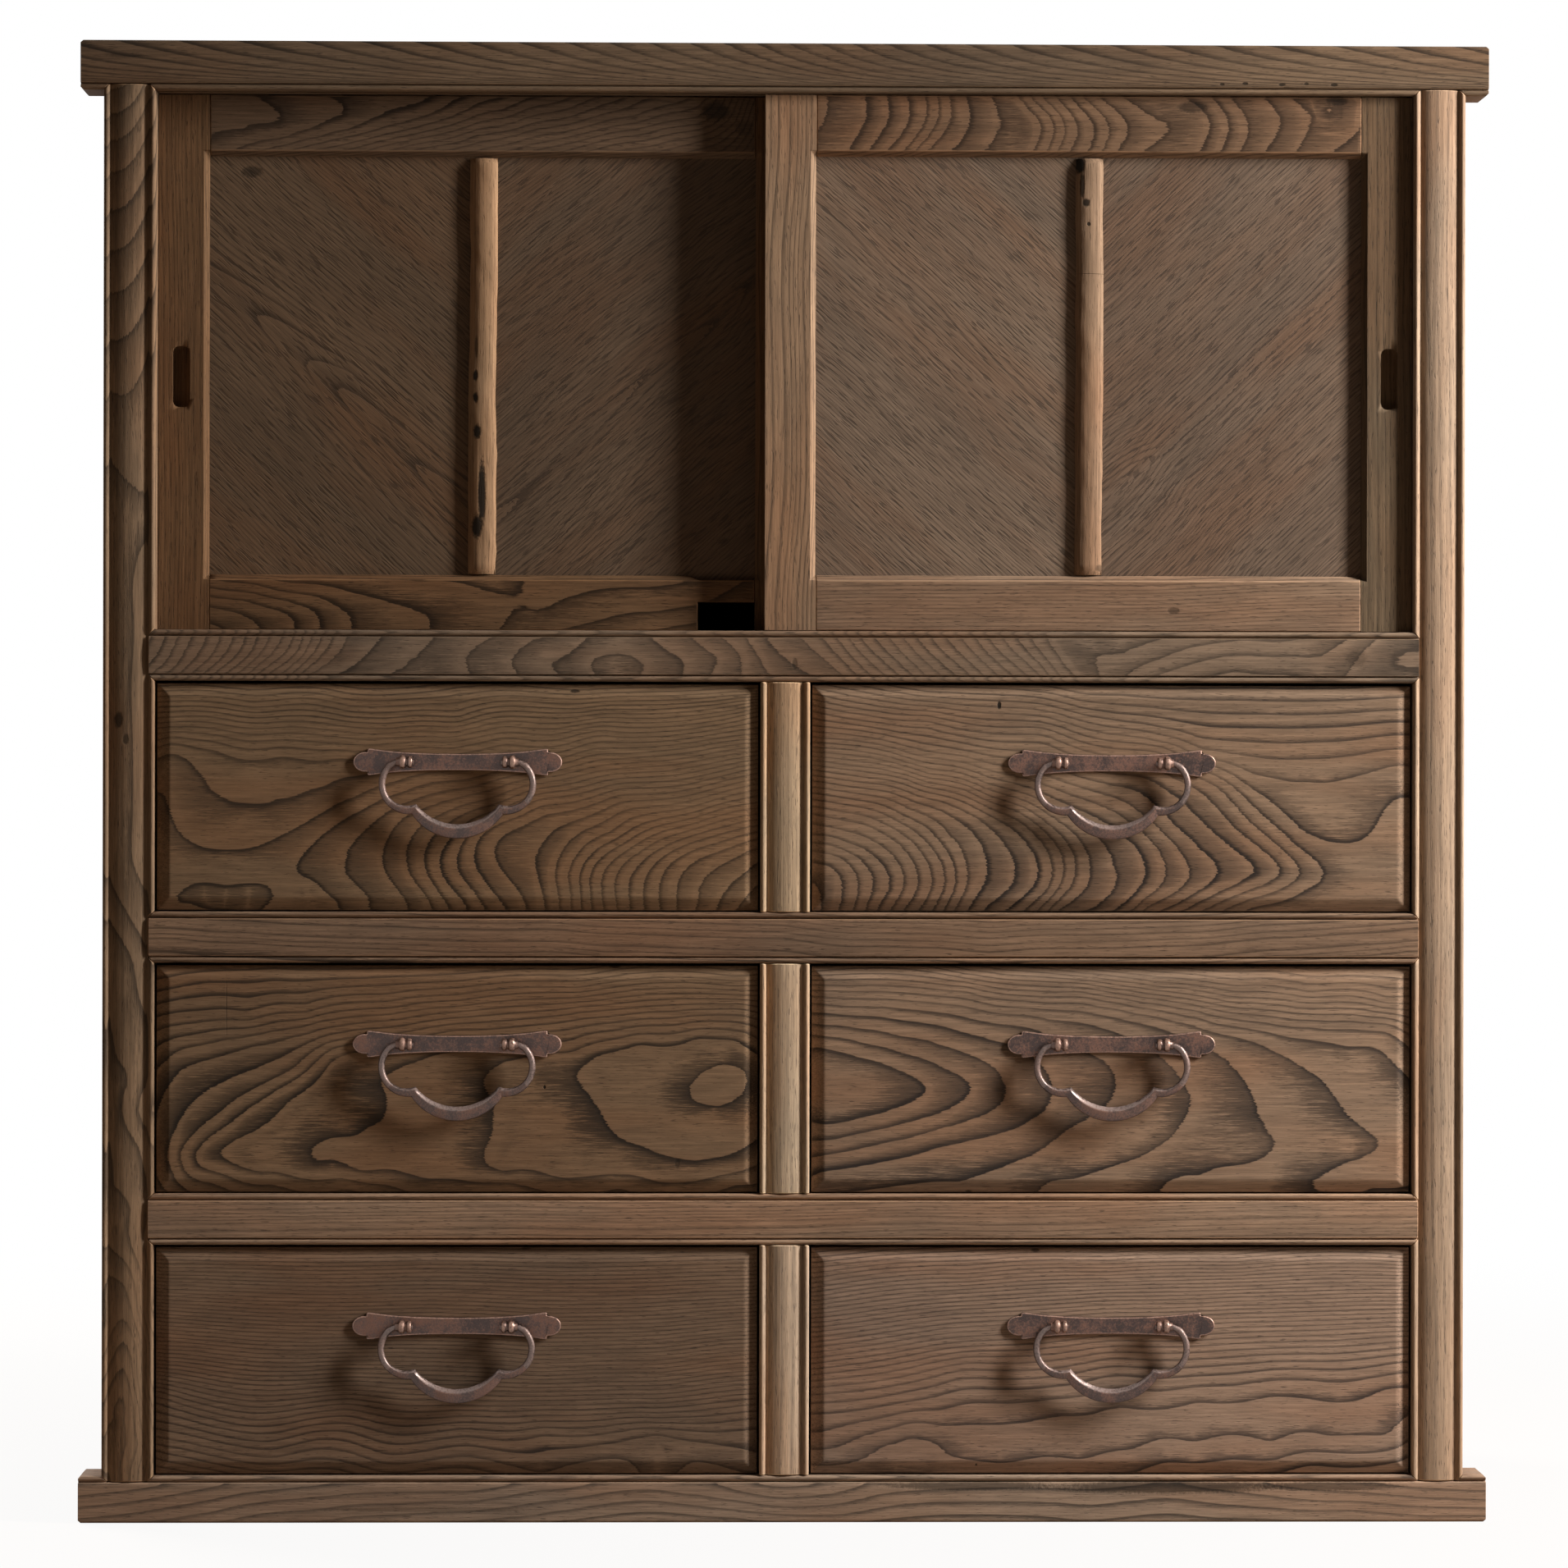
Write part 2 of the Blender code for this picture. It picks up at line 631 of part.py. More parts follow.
def add_drawer_floors():
    length = FLOOR_REAR - BOARD_FRONT
    for row, level in enumerate(drawer_floor_levels()):
        name = "drawer_floor_row_%d" % (row + 1)
        mesh = outline_mesh(name, drawer_floor_outline(), length)
        place = (0.0, BOARD_FRONT + length / 2, level)
        add_part(name, mesh, wood(name, "inside"), CABINET, place, FRONT_VIEW)


def door_section(bottom, top, head_tongue, foot_tongue):
    """Side view of a door member, with a tongue on its top, its foot or both."""
    front = (DOOR_THICKNESS - TONGUE_THICKNESS) / 2
    back = front + TONGUE_THICKNESS
    outline = [(0.0, bottom), (0.0, top)]
    if head_tongue:
        outline += [(front, top), (front, top + HEAD_TONGUE)]
        outline += [(back, top + HEAD_TONGUE), (back, top)]
    outline += [(DOOR_THICKNESS, top), (DOOR_THICKNESS, bottom)]
    if foot_tongue:
        foot = bottom - DOOR_BOTTOM_GAP - SILL_GROOVE_DEPTH + GAP
        outline += [(back, bottom), (back, foot), (front, foot), (front, bottom)]
    return outline


def door_height():
    return DOOR_OPENING_HEIGHT - DOOR_TOP_GAP - DOOR_BOTTOM_GAP


def add_sight_cutters(door_name, slide):
    """Cutters shared by a door's four frame members: the chamfer and the panel groove."""
    half = DOOR_WIDTH / 2 - STILE_WIDTH
    low = DOOR_BOTTOM_RAIL
    high = door_height() - DOOR_TOP_RAIL
    middle = (low + high) / 2
    slope = DOOR_CHAMFER + OVERRUN * DOOR_CHAMFER / PANEL_RECESS
    shape = bmesh.new()
    bmesh.ops.create_cube(shape, size=1.0)
    size = (2 * half, PANEL_RECESS + OVERRUN, high - low)
    bmesh.ops.scale(shape, vec=size, verts=shape.verts)
    front = [corner for corner in shape.verts if corner.co.y < 0]
    flare = Matrix.Diagonal((1 + slope / half, 1.0, 1 + 2 * slope / (high - low), 1.0))
    bmesh.ops.transform(shape, matrix=flare, verts=front)
    mesh = mesh_from_bmesh(door_name + "_chamfer", shape)
    place = (0.0, (PANEL_RECESS - OVERRUN) / 2, middle)
    chamfer = add_cutter(door_name + "_chamfer", mesh, slide, place)

    reach = half + PANEL_TONGUE
    low_corner = (-reach, PANEL_RECESS - GAP, low - PANEL_TONGUE)
    high_corner = (reach, PANEL_RECESS + PANEL_THICKNESS + GAP, high + PANEL_TONGUE)
    mesh = box_mesh(door_name + "_panel_groove", low_corner, high_corner)
    groove = add_cutter(door_name + "_panel_groove", mesh, slide, (0.0, 0.0, 0.0))
    return chamfer, groove


def tenon_box(rail_bottom, rail_top, extra):
    """Corners of the tenons that run through a rail; extra opens them into mortises."""
    half = DOOR_WIDTH / 2 - STILE_WIDTH + TENON_LENGTH + extra
    middle = DOOR_THICKNESS / 2
    low = (-half, middle - TENON_THICKNESS / 2 - extra, rail_bottom + TENON_SHOULDER - extra)
    high = (half, middle + TENON_THICKNESS / 2 + extra, rail_top - TENON_SHOULDER + extra)
    return low, high


def door_rails():
    """Bottom and top of a door's two rails, with which tongue each has."""
    height = door_height()
    return (
        ("bottom_rail", 0.0, DOOR_BOTTOM_RAIL, False, True),
        ("top_rail", height - DOOR_TOP_RAIL, height, True, False),
    )


def notch_cutter(rail_name, slide):
    """The rear door's bottom rail has lost its lower corner, with part of the tenon."""
    end = DOOR_WIDTH / 2 - STILE_WIDTH - GAP
    low = (end - NOTCH_WIDTH, -OVERRUN, -SILL_GROOVE_DEPTH - OVERRUN)
    high = (end + TENON_LENGTH + OVERRUN, DOOR_THICKNESS + OVERRUN, NOTCH_HEIGHT)
    name = rail_name + "_notch"
    return add_cutter(name, box_mesh(name, low, high), slide, (0.0, 0.0, 0.0))


def worn_edge_cutter(rail_name, slide):
    """Above the notch the rail's upper edge has worn down along a short ramp."""
    end = DOOR_WIDTH / 2 - STILE_WIDTH
    start = end - NOTCH_WIDTH
    top = DOOR_BOTTOM_RAIL
    ramp = 2 * (WORN_EDGE_DROP + OVERRUN)
    outline = [
        (start - ramp, top + OVERRUN),
        (start, top - WORN_EDGE_DROP),
        (end + OVERRUN, top - WORN_EDGE_DROP),
        (end + OVERRUN, top + OVERRUN),
    ]
    name = rail_name + "_worn_edge"
    depth = PANEL_RECESS + PANEL_THICKNESS / 2
    mesh = outline_mesh(name, outline, depth + OVERRUN)
    return add_cutter(name, mesh, slide, (0.0, (depth - OVERRUN) / 2, 0.0), FRONT_VIEW)


def add_door_rails(door_name, slide, chamfer, groove, worn):
    length = DOOR_WIDTH - 2 * STILE_WIDTH - 2 * GAP
    for part_name, bottom, top, head, foot in door_rails():
        name = door_name + "_" + part_name
        mesh = outline_mesh(name, door_section(bottom, top, head, foot), length)
        rail = add_part(name, mesh, wood(name, "door"), slide, (0.0, 0.0, 0.0), SIDE_VIEW)
        low, high = tenon_box(bottom, top, 0.0)
        tenon_mesh = box_mesh(name + "_tenons", low, high)
        tenon = add_cutter(name + "_tenons", tenon_mesh, slide, (0.0, 0.0, 0.0))
        lost_corner = worn and part_name == "bottom_rail"
        if lost_corner:
            cut(rail, worn_edge_cutter(name, slide))
        cut(rail, chamfer)
        cut(rail, groove)
        apply_boolean(rail, "UNION", tenon)
        if lost_corner:
            cut(rail, notch_cutter(name, slide))


def add_finger_pull(door_name, slide, side):
    """Cutter for the blind rounded slot in the door's outer stile."""
    outline = rounded_rectangle(PULL_WIDTH, PULL_HEIGHT, PULL_RADIUS)
    mesh = outline_mesh(door_name + "_pull", outline, PULL_DEPTH + OVERRUN)
    across = side * (DOOR_WIDTH / 2 - PULL_INSET)
    place = (across, (PULL_DEPTH - OVERRUN) / 2, PULL_ABOVE_SILL)
    return add_cutter(door_name + "_pull", mesh, slide, place, FRONT_VIEW)


def add_door_stiles(door_name, slide, chamfer, groove, pull_side):
    height = door_height()
    middle = DOOR_WIDTH / 2 - STILE_WIDTH / 2
    mortises = []
    for part_name, bottom, top, _, _ in door_rails():
        low, high = tenon_box(bottom, top, GAP)
        name = door_name + "_" + part_name + "_mortises"
        mortises.append(add_cutter(name, box_mesh(name, low, high), slide, (0.0, 0.0, 0.0)))
    for part_name, side in (("left_stile", -1), ("right_stile", 1)):
        name = door_name + "_" + part_name
        mesh = outline_mesh(name, door_section(0.0, height, True, True), STILE_WIDTH)
        place = (side * middle, 0.0, 0.0)
        stile = add_part(name, mesh, wood(name, "door"), slide, place, SIDE_VIEW)
        cut(stile, chamfer)
        cut(stile, groove)
        for mortise in mortises:
            cut(stile, mortise)
        if side == pull_side:
            cut(stile, add_finger_pull(door_name, slide, side))


def add_door_panels(door_name, slide):
    """Two thin boards that meet behind the batten."""
    reach = DOOR_WIDTH / 2 - STILE_WIDTH + PANEL_TONGUE - GAP
    bottom = DOOR_BOTTOM_RAIL - PANEL_TONGUE + GAP
    top = door_height() - DOOR_TOP_RAIL + PANEL_TONGUE - GAP
    for part_name, side in (("left_panel", -1), ("right_panel", 1)):
        name = door_name + "_" + part_name
        edges = sorted((side * GAP / 2, side * reach))
        low = (edges[0], PANEL_RECESS, bottom)
        high = (edges[1], PANEL_RECESS + PANEL_THICKNESS, top)
        add_part(name, box_mesh(name, low, high), wood(name, "panel"), slide, (0.0, 0.0, 0.0))


def add_door_batten(door_name, slide):
    """Low half-round pole over the panels' joint, between the rails."""
    name = door_name + "_batten"
    foot = PANEL_RECESS - GAP
    outline = []
    for across, height in arc((0.0, 0.0), 1.0, 0, 180, BATTEN_STEPS):
        outline.append((across * BATTEN_WIDTH / 2, foot - height * BATTEN_HEIGHT))
    bottom = DOOR_BOTTOM_RAIL + GAP
    top = door_height() - DOOR_TOP_RAIL - GAP
    mesh = outline_mesh(name, outline, top - bottom)
    smooth(mesh)
    add_part(name, mesh, wood(name, "batten"), slide, (0.0, 0.0, (bottom + top) / 2))


def add_door(door_name, side):
    """A sliding door; its empty stands on the sill at its closed place."""
    track = 0 if side > 0 else 1
    across = side * (OPENING_HALF - DOOR_SIDE_GAP - DOOR_WIDTH / 2)
    place = (across, door_face_depth(track), SILL + DOOR_BOTTOM_GAP)
    slide = add_empty(door_name + "_slide", CABINET, place)
    chamfer, groove = add_sight_cutters(door_name, slide)
    add_door_rails(door_name, slide, chamfer, groove, track == 1)
    add_door_stiles(door_name, slide, chamfer, groove, side)
    add_door_panels(door_name, slide)
    add_door_batten(door_name, slide)


def add_drawer_front(name, slide, width, height):
    """Board whose face swells from a low border to a flat field, mitred at the corners."""
    border_face = FIELD_RECESS + BORDER_DROP
    low = (-width / 2, border_face, FRONT_BOTTOM_GAP)
    high = (width / 2, FIELD_RECESS + FRONT_THICKNESS, FRONT_BOTTOM_GAP + height)
    shape = bmesh.new()
    bmesh.ops.create_cube(shape, size=1.0)
    bmesh.ops.scale(shape, vec=[end - start for start, end in zip(low, high)], verts=shape.verts)
    middle = [(end + start) / 2 for start, end in zip(low, high)]
    bmesh.ops.translate(shape, vec=middle, verts=shape.verts)
    shape.faces.ensure_lookup_table()
    face = min(shape.faces, key=lambda item: item.calc_center_median().y)
    steps = CORNER_STEPS + 1
    before = (0.0, 0.0)
    for step in range(1, steps + 1):
        turn = math.radians(90 * step / steps)
        after = (BORDER_WIDTH * (1 - math.cos(turn)), BORDER_DROP * math.sin(turn))
        bmesh.ops.inset_region(shape, faces=[face], thickness=after[0] - before[0])
        bmesh.ops.translate(shape, vec=(0.0, before[1] - after[1], 0.0), verts=face.verts)
        before = after
    mesh = mesh_from_bmesh(name, shape)
    smooth(mesh)
    add_part(name, mesh, wood(name, "drawer"), slide, (0.0, 0.0, 0.0))


def add_drawer_tray(name, slide, width, height):
    """Sides, back and bottom of the drawer, open above and closed by the front."""
    start = FIELD_RECESS + FRONT_THICKNESS + GAP
    end = BACK_FACE - TRAY_REAR_ROOM
    half = width / 2 - TRAY_INSET
    top = height - TRAY_TOP_DROP
    mesh = box_mesh(name, (-half, start, GAP), (half, end, top))
    tray = add_part(name, mesh, wood(name, "inside"), slide, (0.0, 0.0, 0.0))
    inner = half - TRAY_WALL
    low = (-inner, start - OVERRUN, GAP + TRAY_BOTTOM)
    high = (inner, end - TRAY_WALL, top + OVERRUN)
    cut(tray, add_cutter(name + "_hollow", box_mesh(name + "_hollow", low, high), slide, (0.0, 0.0, 0.0)))
    low = (-inner, end - TRAY_WALL - OVERRUN, top - TRAY_BACK_DROP)
    high = (inner, end + OVERRUN, top + OVERRUN)
    mesh = box_mesh(name + "_low_back", low, high)
    cut(tray, add_cutter(name + "_low_back", mesh, slide, (0.0, 0.0, 0.0)))


def plate_outline():
    """Front view of a handle plate: a waisted bar, pointed ears and a round tongue."""
    ear = PLATE_EAR_HEIGHT / 2
    waist = PLATE_WAIST / 2
    tongue = PLATE_TONGUE_HEIGHT / 2
    reach = PLATE_LENGTH / 2 - PLATE_EAR_REACH
    upper = []
    for step in range(EAR_STEPS + 1):
        share = step / EAR_STEPS
        upper.append((PLATE_EAR_REACH * share, waist + (ear - waist) * share ** 2))
    for across, height in arc((0.0, 0.0), 1.0, 82, 0, TONGUE_STEPS):
        upper.append((PLATE_EAR_REACH + reach * across, tongue * height))
    right = upper + [(across, -height) for across, height in reversed(upper[1:-1])]
    left = [(-across, -height) for across, height in right[1:-1]]
    return right + [(0.0, -waist)] + left


def knuckle_mesh(name):
    """Turned barrel with two ribs and a groove between them, bored for the pin."""
    half = KNUCKLE_LENGTH / 2
    bore = PIN_RADIUS + PIN_PLAY
    rim = KNUCKLE_RADIUS - KNUCKLE_GROOVE
    profile_shares = ((1.0, 0.0), (0.82, 0.75), (0.5, 1.0), (0.18, 0.75), (0.0, 0.0))
    outer = [(half * along, rim + KNUCKLE_GROOVE * height) for along, height in profile_shares]
    outer += [(-along, radius) for along, radius in reversed(outer[:-1])]
    profile = outer + [(-half, bore), (half, bore)]
    shape = bmesh.new()
    rings = []
    for side in range(KNUCKLE_SIDES):
        turn = 2 * math.pi * side / KNUCKLE_SIDES
        ring = []
        for along, radius in profile:
            ring.append(shape.verts.new((along, radius * math.cos(turn), radius * math.sin(turn))))
        rings.append(ring)
    for side in range(KNUCKLE_SIDES):
        this_ring = rings[side]
        next_ring = rings[(side + 1) % KNUCKLE_SIDES]
        for index in range(len(profile)):
            following = (index + 1) % len(profile)
            corners = (this_ring[index], this_ring[following], next_ring[following], next_ring[index])
            shape.faces.new(corners)
    mesh = mesh_from_bmesh(name, shape)
    smooth(mesh)
    return mesh


def add_handle_plate(name, slide, pivot):
    """Iron plate on the drawer's face with two bored knuckles on short stems."""
    back = FIELD_RECESS - GAP
    mesh = outline_mesh(name, plate_outline(), PLATE_THICKNESS)
    place = (0.0, back - PLATE_THICKNESS / 2, pivot[2])
    plate = add_part(name, mesh, iron(name), slide, place, FRONT_VIEW)
    stem_end = pivot[1] + PIN_RADIUS + PIN_PLAY + (KNUCKLE_RADIUS - PIN_RADIUS) / 3
    stem_start = back - PLATE_THICKNESS / 2
    for side_name, side in (("left", -1), ("right", 1)):
        across = side * KNUCKLE_SPACING / 2
        stem_name = "%s_%s_stem" % (name, side_name)
        shape = bmesh.new()
        bmesh.ops.create_cone(
            shape,
            cap_ends=True,
            segments=KNUCKLE_SIDES,
            radius1=STEM_RADIUS,
            radius2=STEM_RADIUS,
            depth=stem_start - stem_end,
        )
        stem_place = (across, (stem_start + stem_end) / 2, pivot[2])
        stem_mesh = mesh_from_bmesh(stem_name, shape)
        stem = add_cutter(stem_name, stem_mesh, slide, stem_place, FRONT_VIEW)
        knuckle_name = "%s_%s_knuckle" % (name, side_name)
        centre = (across, pivot[1], pivot[2])
        knuckle = add_cutter(knuckle_name, knuckle_mesh(knuckle_name), slide, centre)
        apply_boolean(plate, "UNION", stem)
        apply_boolean(plate, "UNION", knuckle)


def bail_stations():
    """Half of the bail from the middle of its lobe to the pin's end.

    Each station is (across, up, half width, half thickness).
    """
    arm_centre = (ARM_REACH, -ARM_DROP)
    cusp_up = -ARM_DROP - math.sqrt(ARM_RADIUS ** 2 - (ARM_REACH - CUSP_REACH) ** 2)
    sagitta = LOBE_DROP + cusp_up
    lobe_radius = (CUSP_REACH ** 2 + sagitta ** 2) / (2 * sagitta)
    lobe_spread = math.asin(CUSP_REACH / lobe_radius)
    stations = []
    for step in range(LOBE_STEPS + 1):
        share = step / LOBE_STEPS
        turn = lobe_spread * share
        across = lobe_radius * math.sin(turn)
        up = lobe_radius * (1 - math.cos(turn)) - LOBE_DROP
        width = LOBE_HALF_WIDTH + (CUSP_HALF_WIDTH - LOBE_HALF_WIDTH) * share ** 2
        stations.append((across, up, width, LOBE_HALF_THICKNESS))
    cusp_turn = math.atan2(cusp_up - arm_centre[1], CUSP_REACH - arm_centre[0])
    rod_turn = math.asin((ARM_DROP - ROD_RADIUS) / ARM_RADIUS)
    for step in range(1, ARM_STEPS + 1):
        share = step / ARM_STEPS
        turn = cusp_turn + (rod_turn - cusp_turn) * share
        across = arm_centre[0] + ARM_RADIUS * math.cos(turn)
        up = arm_centre[1] + ARM_RADIUS * math.sin(turn)
        taper = max(0.0, 1 - share / ROD_START_SHARE)
        width = ROD_RADIUS + (CUSP_HALF_WIDTH - ROD_RADIUS) * taper
        thickness = ROD_RADIUS + (LOBE_HALF_THICKNESS - ROD_RADIUS) * taper
        stations.append((across, up, width, thickness))
    knuckle_end = (KNUCKLE_SPACING + KNUCKLE_LENGTH) / 2
    stations.append((knuckle_end + GAP, 0.0, PIN_RADIUS, PIN_RADIUS))
    pin_end = (KNUCKLE_SPACING - KNUCKLE_LENGTH) / 2 - PIN_END
    stations.append((pin_end, 0.0, PIN_RADIUS, PIN_RADIUS))
    return stations


def station_normal(before, here, after):
    """Direction square to the path at a station, and how far its mitre widens it."""
    first = math.atan2(here[1] - before[1], here[0] - before[0])
    second = math.atan2(after[1] - here[1], after[0] - here[0])
    bend = (second - first + math.pi) % (2 * math.pi) - math.pi
    middle = first + bend / 2
    return (-math.sin(middle), math.cos(middle)), 1 / math.cos(bend / 2)


def bail_mesh(name):
    """Loft of unlike oval sections along the bail, about the pin's axis as origin."""
    half = bail_stations()
    stations = [(-across, up, width, thick) for across, up, width, thick in reversed(half[1:])]
    stations += half
    shape = bmesh.new()
    rings = []
    for index, (across, up, width, thick) in enumerate(stations):
        before = stations[max(index - 1, 0)]
        after = stations[min(index + 1, len(stations) - 1)]
        if index == 0:
            before = (2 * across - after[0], 2 * up - after[1])
        if index == len(stations) - 1:
            after = (2 * across - before[0], 2 * up - before[1])
        normal, widening = station_normal(before, (across, up), after)
        ring = []
        for side in range(ROD_SIDES):
            turn = 2 * math.pi * (side + 0.5) / ROD_SIDES
            reach = width * widening * math.cos(turn)
            place = (across + normal[0] * reach, thick * math.sin(turn), up + normal[1] * reach)
            ring.append(shape.verts.new(place))
        rings.append(ring)
    for ring, next_ring in zip(rings, rings[1:]):
        for side in range(ROD_SIDES):
            following = (side + 1) % ROD_SIDES
            shape.faces.new((ring[side], ring[following], next_ring[following], next_ring[side]))
    shape.faces.new(rings[0])
    shape.faces.new(list(reversed(rings[-1])))
    mesh = mesh_from_bmesh(name, shape)
    smooth(mesh)
    return mesh


def add_drawer(row, column, side, level):
    """A drawer; its empty stands on the floor board at the drawer's closed place."""
    name = "drawer_%d_%s" % (row, column)
    across = side * (DIVIDER_WIDTH + DRAWER_OPENING_WIDTH) / 2
    slide = add_empty(name + "_slide", CABINET, (across, 0.0, level))
    width = DRAWER_OPENING_WIDTH - 2 * FRONT_SIDE_GAP
    height = DRAWER_OPENING_HEIGHT - FRONT_TOP_GAP - FRONT_BOTTOM_GAP
    add_drawer_front(name + "_front", slide, width, height)
    add_drawer_tray(name + "_tray", slide, width, height)
    pivot = (0.0, FIELD_RECESS - PIVOT_STANDOFF, DRAWER_OPENING_HEIGHT - HANDLE_BELOW_TOP)
    add_handle_plate(name + "_plate", slide, pivot)
    bail_name = name + "_bail"
    add_part(bail_name, bail_mesh(bail_name), iron(bail_name), slide, pivot)


def add_drawers():
    for row, level in enumerate(drawer_floor_levels()):
        for column, side in (("left", -1), ("right", 1)):
            add_drawer(row + 1, column, side, level)


clear_scene()
PARTS = new_collection("tansu_cabinet")
CUTTERS = new_collection("cutters")
CABINET = add_empty("cabinet", None, (0.0, FRONT_PLANE_Y, 0.0))
add_rails()
add_posts()
add_dividers()
add_side_boards()
add_top_and_back()
add_compartment_floor()
add_drawer_floors()
add_door("left_door", -1)
add_door("right_door", 1)
add_drawers()
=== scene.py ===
"""Looks of the tansu cabinet: weathered wood with its figure, rusted iron, studio light.

Every wooden node is stood for by a finer copy with softened edges. Its vertices carry a
ring number, which says how many growth rings lie between them and the pith, and the
material draws a dark line at each whole number. Metres, row frame.
"""
import json
import math
from functools import partialmethod

import bmesh
import bpy
import numpy as np
from mathutils import Matrix, Vector


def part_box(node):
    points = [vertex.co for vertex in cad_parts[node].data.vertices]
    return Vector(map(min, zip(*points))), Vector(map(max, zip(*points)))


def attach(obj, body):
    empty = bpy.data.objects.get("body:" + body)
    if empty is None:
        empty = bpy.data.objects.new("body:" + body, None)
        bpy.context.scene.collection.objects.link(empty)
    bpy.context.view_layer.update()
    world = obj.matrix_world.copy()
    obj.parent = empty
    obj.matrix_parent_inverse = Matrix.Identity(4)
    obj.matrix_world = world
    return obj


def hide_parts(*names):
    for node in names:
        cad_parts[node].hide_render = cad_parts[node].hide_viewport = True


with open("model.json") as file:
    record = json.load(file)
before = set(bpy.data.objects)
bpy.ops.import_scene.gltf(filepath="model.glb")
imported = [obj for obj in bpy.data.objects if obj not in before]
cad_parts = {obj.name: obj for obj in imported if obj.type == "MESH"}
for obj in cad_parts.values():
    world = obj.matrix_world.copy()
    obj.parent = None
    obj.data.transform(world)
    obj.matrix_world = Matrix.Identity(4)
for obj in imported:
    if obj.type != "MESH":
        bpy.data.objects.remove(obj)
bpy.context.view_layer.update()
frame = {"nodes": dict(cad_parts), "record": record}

MM = 0.001
NODES = frame["nodes"]
BODY_OF = {node: body for body, nodes in frame["record"]["behaviour"]["bodies"].items() for node in nodes}
SLOT_OF = {row["node"]: row["material_slot"] for row in frame["record"]["subparts"]}

# The photograph's frame: metres per picture element, and the element at x = 0 and z = 1.086
PICTURE_UNIT = 0.6017 * MM
PICTURE_X = 955.0
PICTURE_Y = 51.0
TOP_Z = 1.086


def picture_x(column):
    return (column - PICTURE_X) * PICTURE_UNIT


def picture_z(line):
    return TOP_Z - (line - PICTURE_Y) * PICTURE_UNIT


# ---------------------------------------------------------------- node helpers

class Tree:
    """Short calls for building the nodes of a material or a world."""

    def __init__(self, owner):
        owner.use_nodes = True
        self.nodes = owner.node_tree.nodes
        self.links = owner.node_tree.links
        self.shader = self.nodes.get("Principled BSDF")

    def put(self, socket, value):
        if isinstance(value, bpy.types.NodeSocket):
            self.links.new(value, socket)
        elif value is not None:
            socket.default_value = value

    def math(self, operation, first, second=None, third=None, clamp=False):
        node = self.nodes.new("ShaderNodeMath")
        node.operation = operation
        node.use_clamp = clamp
        for socket, value in zip(node.inputs, (first, second, third)):
            self.put(socket, value)
        return node.outputs[0]

    plus = partialmethod(math, "ADD")
    minus = partialmethod(math, "SUBTRACT")
    times = partialmethod(math, "MULTIPLY")
    over = partialmethod(math, "DIVIDE")
    times_plus = partialmethod(math, "MULTIPLY_ADD")
    least = partialmethod(math, "MINIMUM")
    most = partialmethod(math, "MAXIMUM")

    def vector(self, operation, first, second=None):
        node = self.nodes.new("ShaderNodeVectorMath")
        node.operation = operation
        self.put(node.inputs[0], first)
        self.put(node.inputs[1], second)
        return node.outputs["Value" if operation == "LENGTH" else "Vector"]

    def place(self):
        return self.nodes.new("ShaderNodeTexCoord").outputs["Object"]

    def attribute(self, name):
        node = self.nodes.new("ShaderNodeAttribute")
        node.attribute_name = name
        return node.outputs["Fac"]

    def noise(self, vector, scale, detail=2.0, roughness=0.5):
        node = self.nodes.new("ShaderNodeTexNoise")
        self.put(node.inputs["Vector"], vector)
        node.inputs["Scale"].default_value = scale
        node.inputs["Detail"].default_value = detail
        node.inputs["Roughness"].default_value = roughness
        return node.outputs["Fac"]

    def white(self, value):
        node = self.nodes.new("ShaderNodeTexWhiteNoise")
        node.noise_dimensions = "1D"
        self.put(node.inputs["W"], value)
        return node.outputs["Value"]

    def remap(self, value, low, high, new_low=0.0, new_high=1.0):
        node = self.nodes.new("ShaderNodeMapRange")
        node.interpolation_type = "SMOOTHSTEP"
        for socket, number in zip(node.inputs, (value, low, high, new_low, new_high)):
            self.put(socket, number)
        return node.outputs["Result"]

    def mix(self, fac, first, second, blend="MIX"):
        node = self.nodes.new("ShaderNodeMix")
        node.data_type = "RGBA"
        node.blend_type = blend
        self.put(node.inputs["Factor"], fac)
        for socket, colour in (("A", first), ("B", second)):
            self.put(node.inputs[socket], (*colour, 1.0) if isinstance(colour, tuple) else colour)
        return node.outputs["Result"]

    def shade(self, colour, value):
        """A colour times a grey value."""
        grey = self.nodes.new("ShaderNodeCombineColor")
        for socket in grey.inputs:
            self.put(socket, value)
        return self.mix(1.0, colour, grey.outputs[0], "MULTIPLY")

    def bump(self, height, strength, distance):
        node = self.nodes.new("ShaderNodeBump")
        node.inputs["Strength"].default_value = strength
        node.inputs["Distance"].default_value = distance
        self.put(node.inputs["Height"], height)
        return node.outputs["Normal"]

    def spot(self, place, column, row, wide, high):
        """1 inside an uneven oval, 0 outside it: its middle in the photograph, and half sizes in mm."""
        offset = self.vector("SUBTRACT", place, (picture_x(column), 0.0, picture_z(row)))
        scaled = self.vector("MULTIPLY", offset, (1 / (wide * MM), 0.0, 1 / (high * MM)))
        uneven = self.times(self.minus(self.noise(place, 420.0, 3.0, 0.6), 0.5), 0.64)
        distance = self.plus(self.vector("LENGTH", scaled), uneven)
        return self.remap(distance, 0.55, 1.10, 1.0, 0.0)


